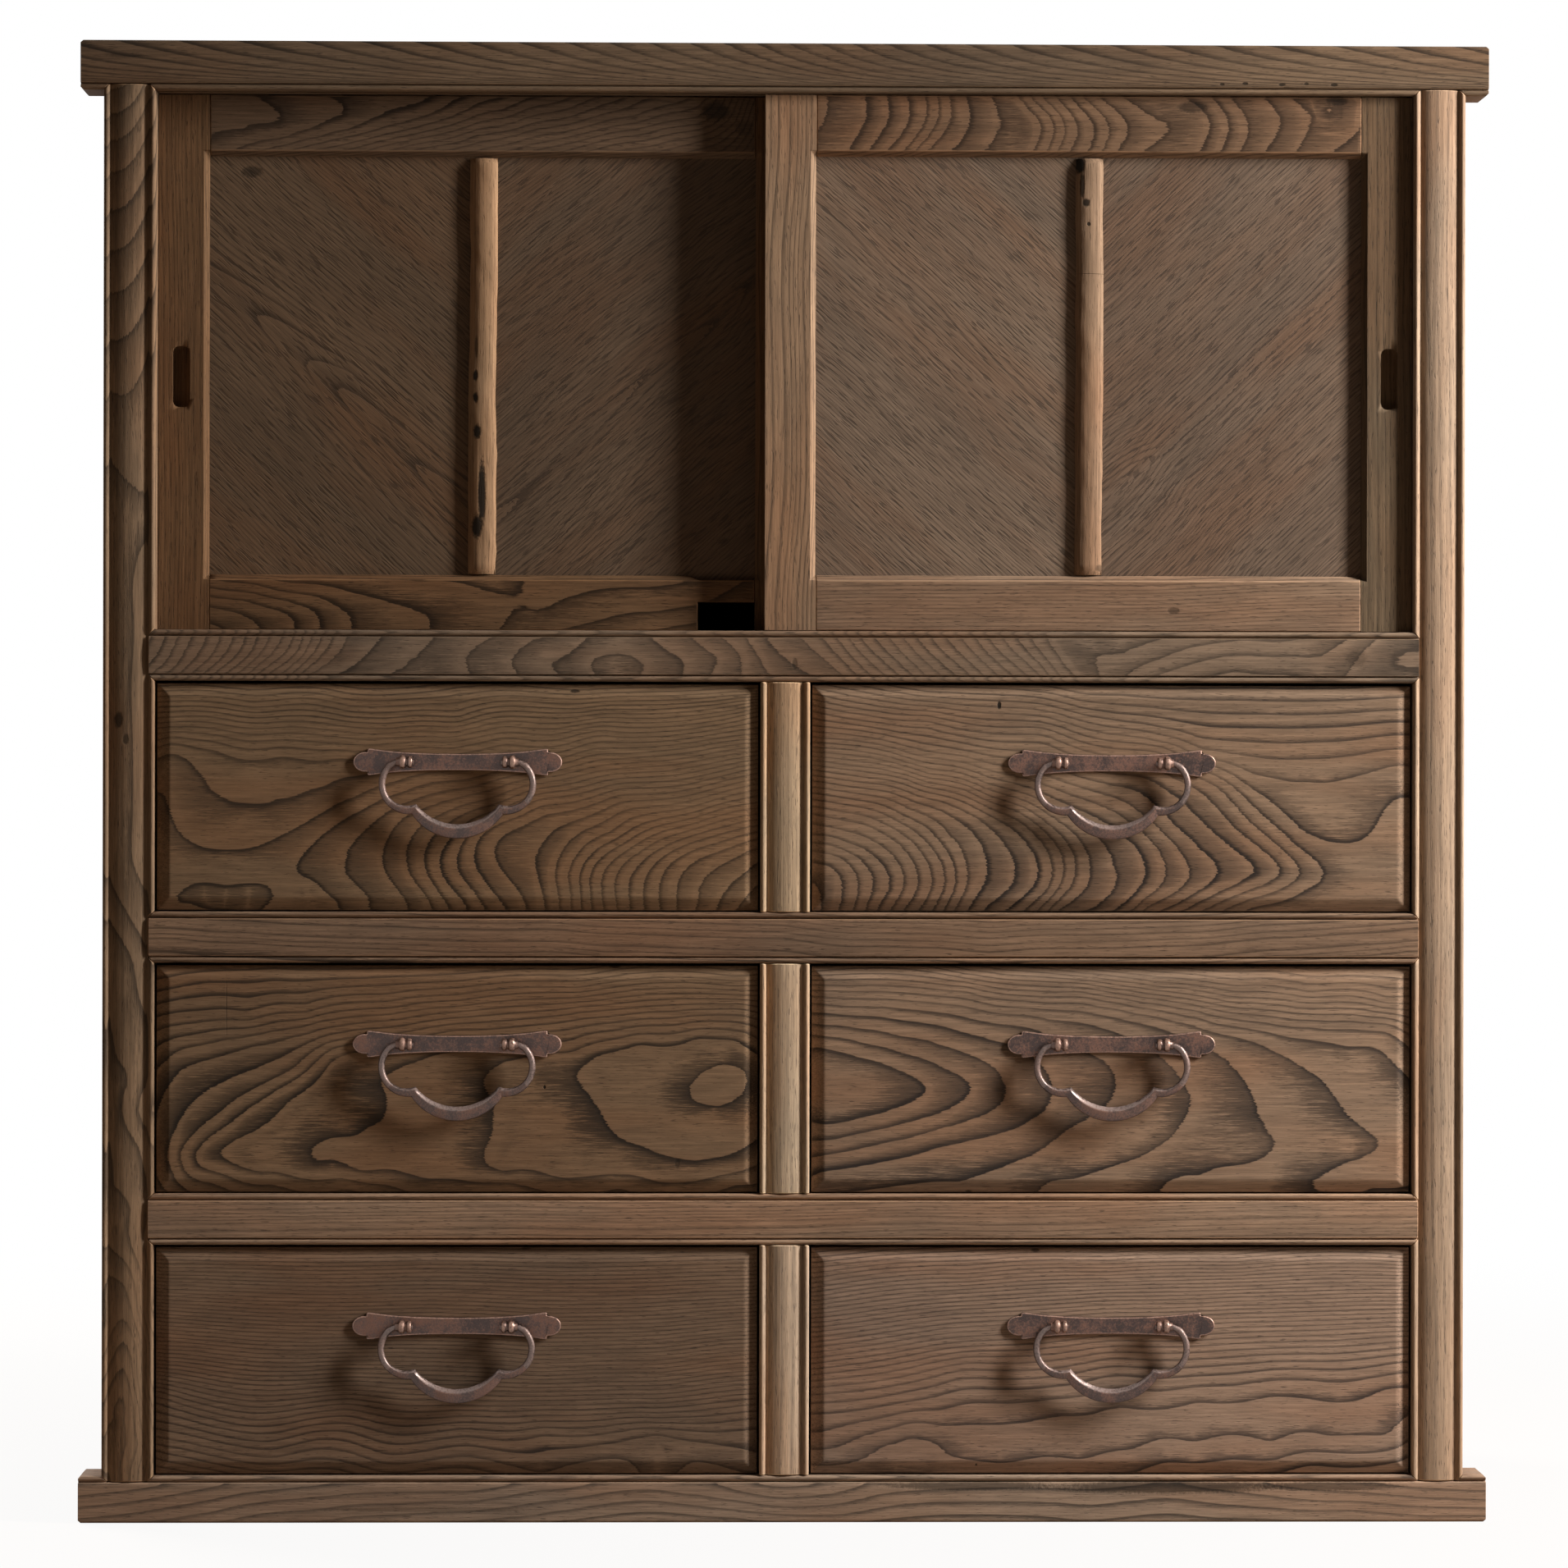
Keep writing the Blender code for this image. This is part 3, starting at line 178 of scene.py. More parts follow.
# Colours of the wood: light early wood, greyer body, and the dark line at each ring
WOODS = {
    "top": ((0.285, 0.180, 0.110), (0.200, 0.132, 0.086), (0.036, 0.026, 0.020)),
    "post": ((0.340, 0.216, 0.132), (0.250, 0.166, 0.106), (0.050, 0.036, 0.027)),
    "rail": ((0.290, 0.186, 0.116), (0.210, 0.140, 0.092), (0.038, 0.028, 0.021)),
    "door": ((0.300, 0.184, 0.110), (0.220, 0.138, 0.086), (0.038, 0.026, 0.019)),
    "panel": ((0.196, 0.130, 0.086), (0.152, 0.103, 0.070), (0.052, 0.037, 0.028)),
    "batten": ((0.430, 0.272, 0.165), (0.340, 0.214, 0.130), (0.160, 0.098, 0.058)),
    "drawer": ((0.330, 0.204, 0.118), (0.240, 0.154, 0.094), (0.032, 0.024, 0.019)),
    "inside": ((0.400, 0.280, 0.175), (0.320, 0.224, 0.144), (0.190, 0.126, 0.080)),
}
# How much lighter or darker single pieces are than their wood: partly their own tone, and partly painted light and
# shade for how brightly the scene lights them
TONES_AND_PAINTED_LIGHT = {
    "top_rail": (0.66, 0.67, 0.66),
    "left_post": (0.90, 0.89, 0.85),
    "right_post": (1.27, 1.36, 1.46),
    # painted shade: both doors' top rails are darkened for the shadow that the top rail casts on them
    "left_door_top_rail": (0.55, 0.55, 0.55),
    "right_door_top_rail": (0.76, 0.71, 0.67),
    "left_door_bottom_rail": (0.61, 0.54, 0.45),
    "right_door_bottom_rail": (0.97, 1.03, 1.10),
    "left_door_left_stile": (0.62, 0.55, 0.45),
    "left_door_right_stile": (0.62, 0.55, 0.45),
    "right_door_left_stile": (1.27, 1.29, 1.27),
    "right_door_right_stile": (0.54, 0.59, 0.58),
    "left_door_left_panel": (0.82, 0.77, 0.69),
    "left_door_right_panel": (0.77, 0.74, 0.70),
    "right_door_left_panel": (1.14, 1.17, 1.20),
    "right_door_right_panel": (0.95, 0.96, 0.99),
    "left_door_batten": (0.85, 0.83, 0.77),
    "right_door_batten": (0.71, 0.71, 0.72),
    "door_sill_rail": (0.89, 0.93, 0.97),
    "drawer_1_left_front": (0.84, 0.83, 0.79),
    "drawer_1_right_front": (0.89, 0.92, 0.99),
    "drawer_2_left_front": (0.80, 0.79, 0.77),
    "drawer_2_right_front": (1.00, 1.04, 1.14),
    "drawer_3_left_front": (0.75, 0.77, 0.84),
    "drawer_3_right_front": (1.08, 1.15, 1.36),
    "upper_drawer_rail": (0.96, 0.92, 0.91),
    "lower_drawer_rail": (1.36, 1.35, 1.37),
    "base_rail": (1.27, 1.37, 1.51),
    # painted light: the dividers are lightened against the shade that they get in the scene
    "divider_row_2": (1.78, 1.99, 2.10),
    "divider_row_1": (1.54, 1.64, 1.62),
    "divider_row_3": (1.74, 1.93, 2.12),
}
# Dark marks such as knots, nail holes, bark and scratches, and patches of painted shade: column and line of the
# photograph, half width and half height in millimetres, and strength
MARKS_AND_PAINTED_SHADE = {
    "drawer_1_right_front": ((1216, 858, 1.6, 3.4, 0.95),),
    "drawer_1_left_front": ((698, 842, 4.0, 1.6, 0.8),),
    "drawer_2_left_front": ((662, 1325, 1.2, 1.6, 0.95), (275, 1228, 0.35, 23.0, 0.65),
                            (748, 1178, 5.0, 1.2, 0.8), (824, 1418, 2.2, 4.0, 0.45)),
    "drawer_2_right_front": ((1180, 1452, 3.0, 1.0, 0.7),),
    "drawer_3_left_front": ((640, 1522, 4.0, 1.0, 0.6),),
    "drawer_3_right_front": ((1262, 1524, 4.0, 1.6, 0.75), (1190, 1786, 1.0, 1.0, 0.8)),
    "left_post": ((143, 878, 3.5, 7.0, 0.75), (152, 902, 2.5, 4.5, 0.65)),
    "door_sill_rail": ((966, 808, 2.4, 5.0, 0.45), (1652, 800, 9.0, 7.0, 0.35)),
    # painted shade: the two on the left door's top rail darken its right end, in the right door's shadow and under
    # the top rail
    "left_door_top_rail": ((869, 130, 12.0, 8.0, 0.70), (905, 150, 8.0, 8.0, 0.35)),
    "right_door_top_rail": ((1452, 126, 12.0, 5.0, 0.60), (1629, 117, 9.0, 4.0, 0.65)),
    "right_door_bottom_rail": ((1430, 742, 5.0, 3.0, 0.55),),
    "left_door_left_panel": ((300, 206, 9.0, 5.0, 0.60),),
    "top_rail": ((1487, 99, 2.0, 1.2, 0.8), (1515, 98, 2.5, 1.2, 0.8), (1560, 99, 3.0, 1.2, 0.8),
                 (1590, 98, 2.0, 1.2, 0.7), (1624, 99, 3.0, 1.4, 0.8), (150, 70, 16.0, 2.0, 0.4)),
    "base_rail": ((1180, 1811, 70.0, 4.0, 0.60), (1420, 1813, 95.0, 5.5, 0.70), (1620, 1812, 60.0, 4.0, 0.60),
                  (520, 1840, 90.0, 2.0, 0.30)),
    "left_door_batten": ((575, 455, 2.0, 5.0, 0.95), (575, 482, 2.0, 4.5, 0.95), (577, 524, 3.2, 6.0, 0.95),
                         (583, 600, 3.4, 28.0, 0.95), (577, 640, 4.5, 10.0, 0.95), (576, 420, 1.4, 9.0, 0.6)),
    "right_door_batten": ((1314, 196, 4.5, 8.0, 0.97), (1322, 243, 3.0, 3.5, 0.9), (1325, 269, 1.6, 1.8, 0.9),
                          (1317, 222, 2.0, 10.0, 0.8), (1330, 330, 12.0, 0.35, 0.5), (1340, 690, 4.0, 3.0, 0.5)),
}


# The dark line at each ring: how far its splinters reach, how far it wavers, its least width and
# how much wider it may be, and how softly it starts
SPLINTERS = 9.0 * MM
WAVER = 1.1 * MM
LINE_WIDTH, LINE_WIDTH_MORE = 1.2 * MM, 1.7 * MM
LINE_LEAD = 0.5 * MM
# How far the smoke behind a line reaches: across the fibres, and how much further along them
SMOKE_ACROSS, SMOKE_ALONG = 6.0 * MM, 36.0 * MM
FINEST_RING = 1.0 * MM
# Pores: their noise's stretch and scale, and the value at which they start
FINE_PORES = (0.075, 1500.0, 0.615)
PANEL_PORES = (0.10, 700.0, 0.565)
MARK_AND_SHADE_COLOUR = (0.012, 0.010, 0.008)
WOOD_RELIEF = 0.25 * MM
IRON_RELIEF = 0.30 * MM


def scaled(colour, factors):
    return tuple(c * f for c, f in zip(colour, factors))


def fibre_noise(tree, seed, along, turn):
    """Noise that is drawn out along the fibres, as a function of its stretch and scale."""
    shifted = tree.vector("ADD", tree.place(), scaled((1.37, 0.73, 2.11), (seed,) * 3))
    turned = tree.nodes.new("ShaderNodeVectorRotate")
    turned.rotation_type = "Z_AXIS" if along == "Y" else "Y_AXIS"
    turned.inputs["Angle"].default_value = turn if along == "X" else math.pi / 2
    tree.put(turned.inputs["Vector"], shifted)

    def streaks(stretch, scale, detail=2.0, roughness=0.6):
        drawn_out = tree.vector("MULTIPLY", turned.outputs["Vector"], (stretch, 1.0, 1.0))
        return tree.noise(drawn_out, scale, detail, roughness)

    return streaks


def ring_marks(tree, streaks, seed):
    """How far a place lies into its ring, and how strong the dark line and the smoke are there."""
    pitch = tree.most(tree.attribute("pitch"), FINEST_RING)
    lean = tree.attribute("lean")
    steep = tree.math("ABSOLUTE", lean)
    jag = tree.times(tree.minus(streaks(0.045, 950.0, 3.0, 0.7), 0.5), SPLINTERS)
    shift = tree.over(tree.times(lean, jag), tree.times_plus(steep, SPLINTERS, 1.0))
    waver = tree.times(tree.minus(streaks(0.14, 170.0), 0.5), WAVER)
    shift = tree.plus(shift, tree.over(waver, tree.plus(pitch, 2.0 * MM)))
    ring = tree.plus(tree.attribute("ring"), shift)
    phase = tree.math("FRACT", ring)
    chance = tree.white(tree.plus(tree.math("FLOOR", ring), seed * 7.7))
    after = tree.times(phase, pitch)
    before = tree.times(tree.minus(1.0, phase), pitch)
    hair = streaks(0.040, 1250.0, 3.0, 0.7)
    zone = tree.remap(streaks(0.05, 26.0), 0.30, 0.66)

    width = tree.least(tree.times_plus(chance, LINE_WIDTH_MORE, LINE_WIDTH), tree.times(pitch, 0.19))
    width = tree.times(width, tree.times_plus(hair, 2.2, 0.1))
    line = tree.minus(1.45, tree.over(after, width), clamp=True)
    line = tree.most(line, tree.minus(1.0, tree.over(before, LINE_LEAD), clamp=True))
    strength = tree.times(tree.times_plus(chance, 0.40, 0.58), tree.times_plus(zone, 0.35, 0.65))
    strength = tree.times(strength, tree.remap(pitch, 2.0 * MM, 14.0 * MM, 0.56, 1.0))

    # the smoke reaches far along the fibres, and only a little across them
    crossing = tree.least(tree.times(steep, pitch), 1.0)
    span = tree.times_plus(crossing, SMOKE_ALONG, SMOKE_ACROSS)
    span = tree.times(span, tree.times_plus(tree.remap(hair, 0.32, 0.70), 1.25, 0.24))
    span = tree.times(span, tree.times_plus(chance, 0.7, 0.65))
    room = tree.remap(pitch, 7.0 * MM, 20.0 * MM, 0.34, 0.84)
    span = tree.least(span, tree.times(pitch, room))
    smoke = tree.minus(1.0, tree.over(after, span), clamp=True)
    deep = tree.times(tree.times_plus(zone, 0.30, 0.62), tree.remap(pitch, 6.0 * MM, 17.0 * MM, 0.42, 1.10))
    return phase, tree.times(line, strength), tree.times(tree.math("POWER", smoke, 0.60), deep)


def wood_material(node, kind, seed, along="X", turn=0.0, line=1.0, feathers=1.0, brushed=1.0,
                  pores=FINE_PORES):
    """Wood whose dark lines follow the vertices' ring numbers, with fibres along one direction.

    Just above each whole ring number lies a thin dark line, and then a smoky band that
    thins out in splinters along the fibres; line and feathers are their strengths. Pores are
    short dark dashes along the fibres.
    """
    material = bpy.data.materials.new(node + "_wood")
    tree = Tree(material)
    # the piece's tone, which on some pieces holds painted light and on others painted shade
    tone_and_light = TONES_AND_PAINTED_LIGHT.get(node, (1.0, 1.0, 1.0))
    light, body, dark = (scaled(colour, tone_and_light) for colour in WOODS[kind])
    streaks = fibre_noise(tree, seed, along, turn)
    phase, line_share, smoke = ring_marks(tree, streaks, seed)
    patch = streaks(0.30, 10.0, 3.0)
    warmth = streaks(0.22, 17.0)
    fibre = streaks(0.030, 1200.0, 4.0, 0.70)
    cloud = streaks(0.045, 420.0, 3.0)
    # pores are denser in the early wood, just behind a line
    early = tree.times(tree.minus(0.55, phase), 0.09)
    pore_stretch, pore_scale, pore_start = pores
    pore = tree.plus(streaks(pore_stretch, pore_scale, 1.0), early)
    pore = tree.remap(pore, pore_start, pore_start + 0.085)

    tone = tree.times_plus(patch, 1.15, tree.times(cloud, 0.45))
    colour = tree.mix(tree.remap(tone, 0.52, 1.08), body, light)
    ruddy = scaled(body, (1.22, 0.96, 0.80))
    colour = tree.mix(tree.remap(warmth, 0.42, 0.68, 0.0, 0.55), colour, ruddy)
    colour = tree.shade(colour, tree.remap(fibre, 0.28, 0.72, 0.80, 1.17))
    colour = tree.shade(colour, tree.remap(cloud, 0.28, 0.72, 1.0 - 0.11 * brushed, 1.0 + 0.10 * brushed))
    soot = tuple(0.14 * a + 0.86 * b for a, b in zip(body, dark))
    colour = tree.mix(tree.times(smoke, feathers), colour, soot)
    colour = tree.mix(tree.times(pore, 0.62), colour, soot)
    line_share = tree.times(line_share, line, clamp=True)
    colour = tree.mix(line_share, colour, dark)
    rubbed = tree.times(tree.attribute("worn"), tree.remap(streaks(0.12, 240.0, 3.0), 0.36, 0.58, 0.15, 1.0))
    bare = tuple(min(c, 0.8) for c in scaled(light, (1.45, 1.38, 1.30)))
    colour = tree.mix(tree.times(rubbed, 0.75), colour, bare)
    height = tree.times_plus(pore, -0.7, tree.times(fibre, 0.5))
    height = tree.times_plus(line_share, -0.7, height)
    place = tree.place()
    # dark marks, and on some pieces patches of painted shade
    for *oval, strong in MARKS_AND_PAINTED_SHADE.get(node, ()):
        mark_and_shade = tree.times(tree.spot(place, *oval), strong)
        colour = tree.mix(mark_and_shade, colour, MARK_AND_SHADE_COLOUR)
        height = tree.times_plus(mark_and_shade, -2.0, height)
    tree.put(tree.shader.inputs["Base Color"], colour)
    tree.put(tree.shader.inputs["Roughness"], tree.times_plus(cloud, 0.22, 0.56))
    tree.shader.inputs["Specular IOR Level"].default_value = 0.05
    tree.put(tree.shader.inputs["Normal"], tree.bump(height, 0.55, WOOD_RELIEF))
    return material


def iron_material(name, seed, bare):
    """Forged iron: dark skin, brown rust in its hollows, bare metal where it is rubbed."""
    material = bpy.data.materials.new(name)
    tree = Tree(material)
    place = tree.place()
    shifted = tree.vector("ADD", place, (seed * 0.91, seed * 1.7, seed * 0.37))
    broad = tree.noise(shifted, 60.0, 4.0, 0.6)
    fine = tree.noise(shifted, 620.0, 4.0, 0.65)
    grit = tree.noise(shifted, 2100.0, 2.0, 0.6)
    rust = tree.remap(tree.times_plus(fine, 0.6, tree.times(broad, 0.6)), 0.52, 0.74)
    colour = tree.mix(tree.remap(broad, 0.35, 0.65), (0.062, 0.042, 0.037), (0.098, 0.060, 0.049))
    colour = tree.mix(rust, colour, (0.170, 0.080, 0.052))
    worn = tree.times(tree.attribute("worn"), tree.remap(fine, 0.30, 0.56, 0.25, 1.0))
    colour = tree.mix(worn, colour, bare)
    colour = tree.shade(colour, tree.remap(grit, 0.30, 0.70, 0.82, 1.15))
    tree.put(tree.shader.inputs["Base Color"], colour)
    metal = tree.minus(0.82, tree.times(rust, 0.55))
    tree.put(tree.shader.inputs["Metallic"], metal)
    rough = tree.times_plus(rust, 0.26, tree.times_plus(fine, 0.16, 0.26))
    tree.put(tree.shader.inputs["Roughness"], rough)
    height = tree.times_plus(fine, 0.7, tree.times_plus(grit, 0.2, broad))
    tree.put(tree.shader.inputs["Normal"], tree.bump(height, 0.5, IRON_RELIEF))
    return material


# ---------------------------------------------------------------- finer copies

EDGE_ANGLE = math.radians(50)
# Edges of faces smaller than this aren't rounded
SMALL_FACE = 25 * MM * MM
# Rounding of the arrises of boards and rails, and of trays
ARRIS = 0.8 * MM
TRAY_ARRIS = 0.6 * MM


def finer_copy(node, steps, edge_round=0.0):
    """Copy of a node's mesh with softened edges, cut into cells small enough for its figure.

    Steps are the cells' sizes along x, y and z, or 0 where it isn't cut.
    """
    shape = bmesh.new()
    shape.from_mesh(NODES[node].data)
    worn = shape.faces.layers.float.new("worn")
    bmesh.ops.remove_doubles(shape, verts=shape.verts, dist=0.002 * MM)
    bmesh.ops.dissolve_limit(shape, angle_limit=math.radians(1.0), verts=shape.verts, edges=shape.edges)
    sharp = []
    for edge in shape.edges:
        if len(edge.link_faces) == 2 and edge.calc_face_angle_signed(0.0) > EDGE_ANGLE:
            if min(face.calc_area() for face in edge.link_faces) > SMALL_FACE:
                sharp.append(edge)
    if edge_round > 0.0 and sharp:
        made = bmesh.ops.bevel(
            shape, geom=sharp, offset=edge_round, offset_type="OFFSET", segments=2, profile=0.6,
            affect="EDGES", clamp_overlap=True,
        )
        for face in made["faces"]:
            face[worn] = 1.0
    for axis, step in enumerate(steps):
        low = min(vertex.co[axis] for vertex in shape.verts)
        high = max(vertex.co[axis] for vertex in shape.verts)
        count = int((high - low) / step) if step else 0
        for cell in range(1, count):
            place, normal = Vector(), Vector()
            place[axis] = low + (high - low) * cell / count
            normal[axis] = 1.0
            geometry = shape.verts[:] + shape.edges[:] + shape.faces[:]
            bmesh.ops.bisect_plane(shape, geom=geometry, plane_co=place, plane_no=normal, dist=0.01 * MM)
    return new_piece(node + "_wood", shape)


def new_piece(name, shape):
    """Smooth-shaded object from a bmesh, with sharp edges kept and even normals."""
    mesh = bpy.data.meshes.new(name)
    shape.to_mesh(mesh)
    shape.free()
    mesh.shade_smooth()
    mesh.set_sharp_from_angle(angle=EDGE_ANGLE)
    piece = bpy.data.objects.new(name, mesh)
    bpy.context.scene.collection.objects.link(piece)
    even = piece.modifiers.new("even normals", "WEIGHTED_NORMAL")
    even.keep_sharp = True
    return piece


def points_of(mesh):
    places = np.zeros(len(mesh.vertices) * 3, np.float64)
    mesh.vertices.foreach_get("co", places)
    return places.reshape(-1, 3)


def store(mesh, name, values):
    attribute = mesh.attributes.new(name, "FLOAT", "POINT")
    attribute.data.foreach_set("value", np.asarray(values, np.float32))


# Rings per metre that are taken where fewer are met
FEWEST_RINGS = 12.0


def give_rings(mesh, rings_at, fibres):
    """Store each vertex's ring number, rings per metre along the fibres, and one ring's width.

    rings_at gives ring numbers for places; fibres is the direction of the wood's fibres.
    """
    points = points_of(mesh)
    rings = np.asarray(rings_at(points), np.float64)
    reach = 0.5 * MM * np.asarray(fibres, np.float64)
    lean = (np.asarray(rings_at(points + reach)) - np.asarray(rings_at(points - reach))) / MM
    ends = np.zeros(len(mesh.edges) * 2, np.int64)
    mesh.edges.foreach_get("vertices", ends)
    ends = ends.reshape(-1, 2)
    length = np.linalg.norm(points[ends[:, 0]] - points[ends[:, 1]], axis=1)
    slope = np.abs(rings[ends[:, 0]] - rings[ends[:, 1]]) / np.maximum(length, 0.05 * MM)
    steep = np.zeros(len(points))
    for side in (0, 1):
        np.maximum.at(steep, ends[:, side], slope)
    store(mesh, "ring", rings)
    store(mesh, "lean", lean)
    store(mesh, "pitch", 1.0 / np.maximum(steep, FEWEST_RINGS))


def stand_for(piece, node, material):
    """Give a piece its material and let it stand for a node, on that node's body."""
    piece.data.materials.clear()
    piece.data.materials.append(material)
    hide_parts(node)
    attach(piece, BODY_OF[node])


# ---------------------------------------------------------------- ring functions

# Those of straight, cathedral, sweeping and bending boards take places in metres from the
# board's middle, u along the fibres and v across them, and from its face, w into the wood.

DRIFT_WAVES = 5
DRIFT_REACH = 1.8
ABOUT_A_TURN = 6.283


def drift(values, seed, length):
    """Smooth wandering between about -1 and 1, in waves up to about a length."""
    chance = np.random.default_rng(seed)
    total = np.zeros_like(values)
    for wave in range(DRIFT_WAVES):
        pace = 2 * math.pi / length * (0.6 + 0.7 * wave + 0.3 * chance.random())
        total += np.sin(values * pace + chance.random() * ABOUT_A_TURN) / (1 + wave)
    return total / DRIFT_REACH


# How far the rings of a plain board lean into the wood
INTO_WOOD = 0.35


def straight(u, v, w, seed, spacing, slope=0.0, sway=2.0 * MM):
    """Lines along the fibres."""
    across = v + slope * u + sway * drift(u, seed, 0.5) + INTO_WOOD * w
    return (across + 1.1 * spacing * drift(across, seed + 50, 0.05)) / spacing


def cathedral(u, v, w, seed, spacing, fall, centre=0.0):
    """Nested noses: rings cut by a face that slants across them."""
    side = v - centre + 2.0 * MM * drift(u, seed, 0.4)
    down = 12.0 * MM + fall * u + 3.0 * MM * drift(u, seed + 9, 0.25) + 0.6 * w
    return (np.sqrt(side ** 2 + (6.0 * MM) ** 2) + down) / spacing


TOP_RAIL_HALF = 18.2 * MM
TOP_RAIL_BEAD = 5.0 * MM


def sweeping(u, v, w, seed):
    """Lines that start at the upper edge and flatten as they run down to the right."""
    share = np.clip((TOP_RAIL_HALF - v) / (33.0 * MM), -0.3, 0.985)
    pace = u + 0.14 * np.tanh(u / 0.16) + 4.0 * MM * drift(u, seed, 0.2) + w
    # no line follows the bead along the lower edge
    return np.where(v < TOP_RAIL_BEAD - TOP_RAIL_HALF, 0.5, (pace + 0.12 * np.log(1 - share)) / (45.0 * MM))


# Height of the upper drawer rail's lines along it, in metres
BENT_AT = (-0.46, -0.10, 0.0, 0.05, 0.15, 0.30, 0.46)
BENT_BY = (0.0, -0.012, -0.014, -0.020, -0.024, -0.018, -0.008)


def bending(u, v, w, seed):
    """Lines that dip and rise again."""
    spacing = 5.4 * MM
    across = v - np.interp(u, BENT_AT, BENT_BY) + 1.5 * MM * drift(u, seed, 0.2) + INTO_WOOD * w
    return (across + 0.8 * spacing * drift(across, seed + 50, 0.05)) / spacing


# node: wood, direction of the fibres, ring function, its settings, strength of its lines and smoke
BOARDS = {
    "top_rail": ("top", "X", sweeping, dict(), 1.0, 1.0),
    "upper_drawer_rail": ("rail", "X", bending, dict(), 0.9, 0.8),
    "lower_drawer_rail": ("rail", "X", straight, dict(spacing=3.6 * MM, slope=-0.012), 0.7, 0.6),
    "right_post": ("post", "Z", straight, dict(spacing=4.2 * MM, slope=0.006, sway=1.5 * MM), 0.40, 0.35),
    "divider_row_1": ("post", "Z", straight, dict(spacing=4.5 * MM), 0.38, 0.35),
    "divider_row_2": ("post", "Z", straight, dict(spacing=4.0 * MM, slope=0.03), 0.38, 0.35),
    "divider_row_3": ("post", "Z", straight, dict(spacing=4.6 * MM, slope=-0.02), 0.38, 0.35),
    "left_door_left_stile": ("door", "Z", straight, dict(spacing=3.6 * MM), 0.6, 0.5),
    "left_door_right_stile": ("door", "Z", straight, dict(spacing=4.0 * MM), 0.7, 0.6),
    "right_door_bottom_rail": ("door", "X", straight, dict(spacing=3.2 * MM, slope=-0.02), 0.7, 0.6),
    "right_door_left_stile": ("door", "Z", straight, dict(spacing=4.6 * MM, sway=6 * MM), 0.95, 0.7),
    "right_door_right_stile": ("door", "Z", straight, dict(spacing=5.0 * MM, sway=1.5 * MM), 0.45, 0.4),
    "top_board": ("top", "X", cathedral, dict(spacing=6.5 * MM, fall=0.05), 0.9, 0.8),
    "left_side_board": ("top", "Z", cathedral, dict(spacing=7.0 * MM, fall=0.10, centre=40 * MM), 0.9, 0.8),
    "right_side_board": ("top", "Z", cathedral, dict(spacing=7.5 * MM, fall=0.08, centre=-50 * MM), 0.9, 0.8),
    "back_board": ("inside", "Z", straight, dict(spacing=9.0 * MM, sway=8 * MM), 0.8, 0.7),
    "compartment_floor": ("inside", "X", straight, dict(spacing=7.0 * MM), 0.7, 0.6),
    "drawer_floor_row_1": ("inside", "X", straight, dict(spacing=7.0 * MM), 0.7, 0.6),
    "drawer_floor_row_2": ("inside", "X", straight, dict(spacing=6.0 * MM), 0.7, 0.6),
    "drawer_floor_row_3": ("inside", "X", straight, dict(spacing=8.0 * MM), 0.7, 0.6),
}
FIBRES = {"X": (1.0, 0.0, 0.0), "Y": (0.0, 1.0, 0.0), "Z": (0.0, 0.0, 1.0)}
FRAME_MEMBERS = {node for node in NODES
                 if node.endswith(("_rail", "_post", "_stile")) or node.startswith("divider")}


def board_rings(node, function, settings, axis, seed):
    """Ring numbers for places on a board, from its fibres' axis and its thinnest side."""
    low, high = (np.array(corner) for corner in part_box(node))
    middle = (low + high) / 2
    lengthwise = "XYZ".index(axis)
    others = [index for index in range(3) if index != lengthwise]
    thin = min(others, key=lambda index: high[index] - low[index])
    if node in FRAME_MEMBERS:
        thin = 1
    wide = others[0] if others[1] == thin else others[1]

    def rings_at(points):
        along = points[:, lengthwise] - middle[lengthwise]
        across = points[:, wide] - middle[wide]
        return function(along, across, points[:, thin] - low[thin], seed, **settings)

    return rings_at


# Sizes of cells along the fibres and across them, and the thickness below which none are cut
MEMBER_CELLS = (9 * MM, 5 * MM)
BOARD_CELLS = (30 * MM, 9 * MM)
THIN = 25 * MM


def cells(node, axis):
    """Sizes of the cells that a board is cut into along x, y and z, 0 for no cuts."""
    low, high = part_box(node)
    member = node in FRAME_MEMBERS
    along, across = MEMBER_CELLS if member else BOARD_CELLS
    sizes = []
    for index, name in enumerate("XYZ"):
        uncut = (high - low)[index] < THIN or (member and index == 1)
        sizes.append(0.0 if uncut else along if name == axis else across)
    return sizes


def dress_boards():
    for seed, (node, row) in enumerate(BOARDS.items(), 1):
        kind, axis, function, settings, line, feathers = row
        piece = finer_copy(node, cells(node, axis), ARRIS)
        give_rings(piece.data, board_rings(node, function, settings, axis, seed), FIBRES[axis])
        stand_for(piece, node, wood_material(node, kind, seed, axis, 0.0, line, feathers))


# ---------------------------------------------------------------- figures

# Figures of the drawer fronts. Each line is a ring number and the places that it passes,
# right and down from the front's upper left corner, on a front that is FIGURE_WIDTH wide.
FIGURE_WIDTH = 1560.0

